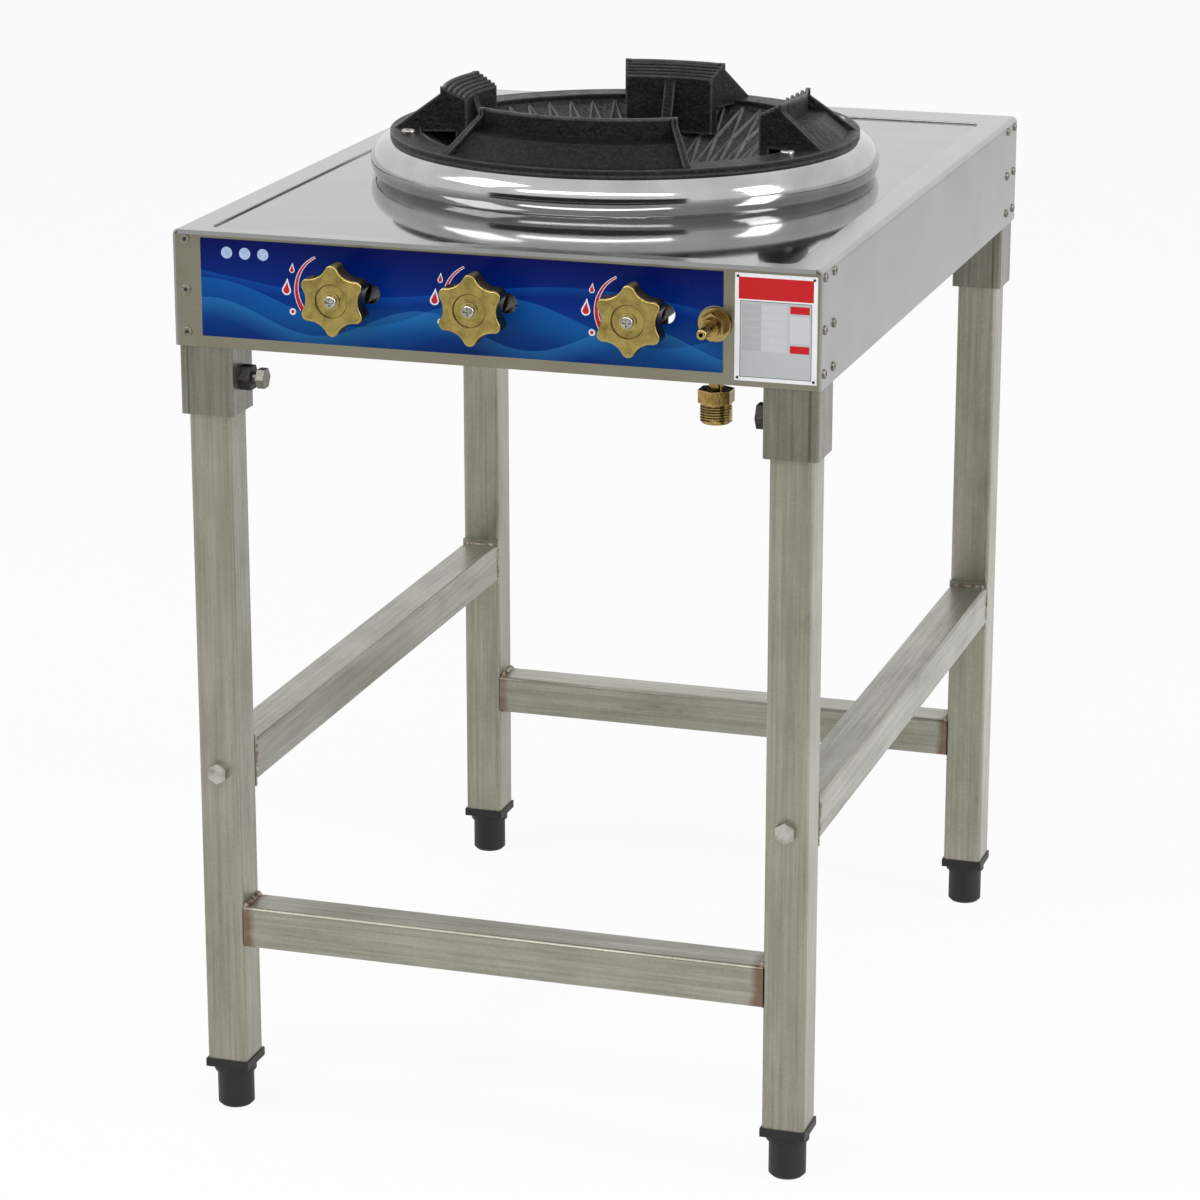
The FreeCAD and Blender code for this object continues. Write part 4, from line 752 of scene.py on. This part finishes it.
# %% Red arcs
PRINT_STEP, PRINT_MIDDLE = 104.8 * MM, -0.5 * MM
print_xs = [PRINT_MIDDLE + i * PRINT_STEP for i in (-1, 0, 1)]
print_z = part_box("knob_centre")[0][2] / 2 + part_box("knob_centre")[1][2] / 2
ARC_X, ARC_R = -6.4 * MM, 24.7 * MM
ARC_FROM, ARC_TO = math.radians(116), math.radians(214)
ARC_THIN, ARC_THICK, ARC_EDGE = 0.3 * MM, 1.5 * MM, 0.5 * MM
for x in print_xs:
    across = add(tree, "Math", {0: axes[0], 1: x + ARC_X}, operation="SUBTRACT")
    up = add(tree, "Math", {0: axes[2], 1: print_z}, operation="SUBTRACT")
    flat = add(tree, "CombineXYZ", {0: across, 1: up})
    radius = add(tree, "VectorMath", {0: flat}, operation="LENGTH", out="Value")
    angle = add(tree, "Math", {0: up, 1: across}, operation="ARCTAN2")
    around = add(tree, "Math", {0: angle, 1: 2 * math.pi, 2: 0.0}, operation="WRAP")
    half = add(tree, "MapRange", {0: around, 1: ARC_FROM, 2: ARC_TO, 3: ARC_THIN, 4: ARC_THICK})
    off = add(tree, "Math", {0: radius, 1: ARC_R}, operation="SUBTRACT")
    off = add(tree, "Math", {0: off}, operation="ABSOLUTE")
    start = add(tree, "Math", {0: around, 1: ARC_FROM}, operation="GREATER_THAN")
    stop = add(tree, "Math", {0: around, 1: ARC_TO}, operation="LESS_THAN")
    span = add(tree, "Math", {0: start, 1: stop}, operation="MULTIPLY")
    for grow, shade in ((ARC_EDGE, "#d9dbe6"), (0.0, "#c4202c")):
        edge = add(tree, "Math", {0: half, 1: grow}, operation="ADD")
        inside = add(tree, "Math", {0: off, 1: edge}, operation="LESS_THAN")
        share = add(tree, "Math", {0: inside, 1: span}, operation="MULTIPLY")
        paint = add(tree, "Mix", {0: share, 6: paint, 7: colour(shade)}, data_type="RGBA", out=2)
tree.links.new(paint, shader.inputs["Base Color"])
film = add(tree, "TexNoise", {"Vector": place, "Scale": 1 / (15 * MM), "Detail": 5.0})
dull = add(tree, "MapRange", {0: film, 1: 0.3, 2: 0.7, 3: 0.22, 4: 0.38})
tree.links.new(dull, shader.inputs["Roughness"])
wear(made, "control_fascia")

# %% [markdown]
# ## Plate at the right
# The plate is a printed metal label: white border, red head and a ruled grey table with nothing
# filled in. Each rectangle is a mask: a point is inside when, on both axes, it lies nearer to the
# middle of the box than half its width.

# %% Ruled plate
made, tree, shader, place = material("printed_plate", Specular_IOR_Level=0.3)
axes = add(tree, "SeparateXYZ", {0: place}, out=None)
across = add(tree, "Math", {0: axes[0], 1: plate_low.x}, operation="SUBTRACT")
down = add(tree, "Math", {0: plate_high.z, 1: axes[2]}, operation="SUBTRACT")
smudge = add(tree, "TexNoise", {"Vector": place, "Scale": 1 / (12 * MM), "Detail": 4.0})
paint = add(tree, "ValToRGB", {0: smudge}, stops=[(0.3, "#e4e5e6"), (0.7, "#f1f2f2")])


def inside_box(x0, x1, d0, d1):
    """1 inside a box on the plate, in mm from its top left corner."""
    share = None
    for axis, a, b in ((across, x0, x1), (down, d0, d1)):
        off = add(tree, "Math", {0: axis, 1: (a + b) / 2 * MM}, operation="SUBTRACT")
        off = add(tree, "Math", {0: off}, operation="ABSOLUTE")
        near = add(tree, "Math", {0: off, 1: (b - a) / 2 * MM}, operation="LESS_THAN")
        share = near if share is None else add(tree, "Math", {0: share, 1: near}, operation="MULTIPLY")
    return share


# Boxes in mm: left, right, top and bottom edge, then the ink
PLATE_RED, ROWS, ROW_TOP, ROW_H, ROW_STEP = "#c5161d", 6, 20, 4.8, 5.2
boxes = [((2.5, 52.5, 2.5, 17), PLATE_RED), ((3.5, 51.5, 18, 68.5), "#3b3d40"),
         ((3.9, 51.1, 18.4, 68.1), "#b9bcbd")]
for row in range(ROWS):
    top = ROW_TOP + row * ROW_STEP
    boxes += [((5, 17.5, top, top + ROW_H), "#aeb1b3"), ((18, 35, top, top + ROW_H), "#c3c6c7")]
boxes += [((37, 50, 20, 25), PLATE_RED), ((37, 50, 46, 51), PLATE_RED), ((37, 50, 26.5, 44.5), "#c8cacb")]
for area, shade in boxes:
    paint = add(tree, "Mix", {0: inside_box(*area), 6: paint, 7: colour(shade)}, data_type="RGBA", out=2)
tree.links.new(paint, shader.inputs["Base Color"])
dull = add(tree, "MapRange", {0: smudge, 1: 0.3, 2: 0.7, 3: 0.25, 4: 0.42})
tree.links.new(dull, shader.inputs["Roughness"])
wear(made, "rating_plate")

# %% [markdown]
# ## Flame marks
# Three small printed marks stand left of each handwheel: a small flame, a large flame and a round
# stop. A flame is a circle whose top is pulled to a tip, extruded to the thickness of a film of
# ink. A white copy, a little larger and thinner, gives the outline.

# %% Marks beside the handwheels
# On a circle of 1 mm: from what height the points are pulled up, and how far, then the lean and narrowing
FLAME_PULLS, FLAME_LEAN, FLAME_NARROW = ((0.5, 0.35), (0.85, 0.5), (0.98, 0.7)), 0.12 * MM, 0.62


def ink(name, shape, places, shades, thick):
    """Printed marks of one shape at places on the fascia, as one piece with an ink of its own."""
    begin()
    bpy.ops.mesh.primitive_circle_add(vertices=32, radius=1 * MM, fill_type="NGON", rotation=FACING["front"])
    bpy.ops.object.transform_apply(rotation=True)
    edit()
    if shape == "flame":
        for reach, pull in FLAME_PULLS:
            pick("verts", lambda p: p.z > reach * MM)
            bpy.ops.transform.translate(value=(FLAME_LEAN, 0, pull * MM))
            bpy.ops.transform.resize(value=(FLAME_NARROW, 1, 1), center_override=(0.1 * MM, 0, 0))
    bpy.ops.mesh.select_all(action="SELECT")
    bpy.ops.mesh.extrude_region_move(TRANSFORM_OT_translate={"value": (0, -thick, 0)})
    bpy.ops.mesh.select_all(action="SELECT")
    bpy.ops.mesh.normals_make_consistent(inside=False)
    bpy.ops.object.mode_set(mode="OBJECT")
    spots = [((x, fascia_low.y, z), (0, 0, 0)) for (x, z), size in places]
    piece = copies(bpy.context.object, spots, name, [(size, 1, size) for spot, size in places])
    made, tree, shader, place = material("printing_ink_" + name, Roughness=0.35, Specular_IOR_Level=0.25)
    film = add(tree, "TexNoise", {"Vector": place, "Scale": 1 / (1.5 * MM), "Detail": 3.0})
    tint = add(tree, "ValToRGB", {0: film}, stops=[(0.3, shades[0]), (0.7, shades[1])])
    tree.links.new(tint, shader.inputs["Base Color"])
    wear(made, name)


# Each mark: mm along and up from the middle of its print, and its size
SMALL_FLAME, LARGE_FLAME, STOP = (-34, 12.5, 1.3), (-38.2, -1.5, 2.2), (-34, -15.7, 1.2)
THICK_INK, THIN_INK = 0.16 * MM, 0.08 * MM
FLAME_EDGE, STOP_EDGE = 1.45, 1.9


def beside_knobs(*marks):
    return [((x + along * MM, print_z + up * MM), size) for x in print_xs for along, up, size in marks]


flames, stops = beside_knobs(SMALL_FLAME, LARGE_FLAME), beside_knobs(STOP)
red, chalk = ("#b8151f", "#d2222c"), ("#dfe3ea", "#f0f2f5")
ink("flame_marks", "flame", flames, red, THICK_INK)
ink("flame_outlines", "flame", [(place, size * FLAME_EDGE) for place, size in flames], chalk, THIN_INK)
ink("stop_marks", "round", stops, red, THICK_INK)
ink("stop_outlines", "round", [(place, size * STOP_EDGE) for place, size in stops], chalk, THIN_INK)
DOTS_IN, DOTS_DOWN, DOT_SIZE = (19, 32, 45), 9, 4.0
dots = [((fascia_low.x + reach * MM, fascia_high.z - DOTS_DOWN * MM), DOT_SIZE) for reach in DOTS_IN]
ink("pale_dots", "round", dots, ("#8fa9d2", "#b9cae6"), THIN_INK)
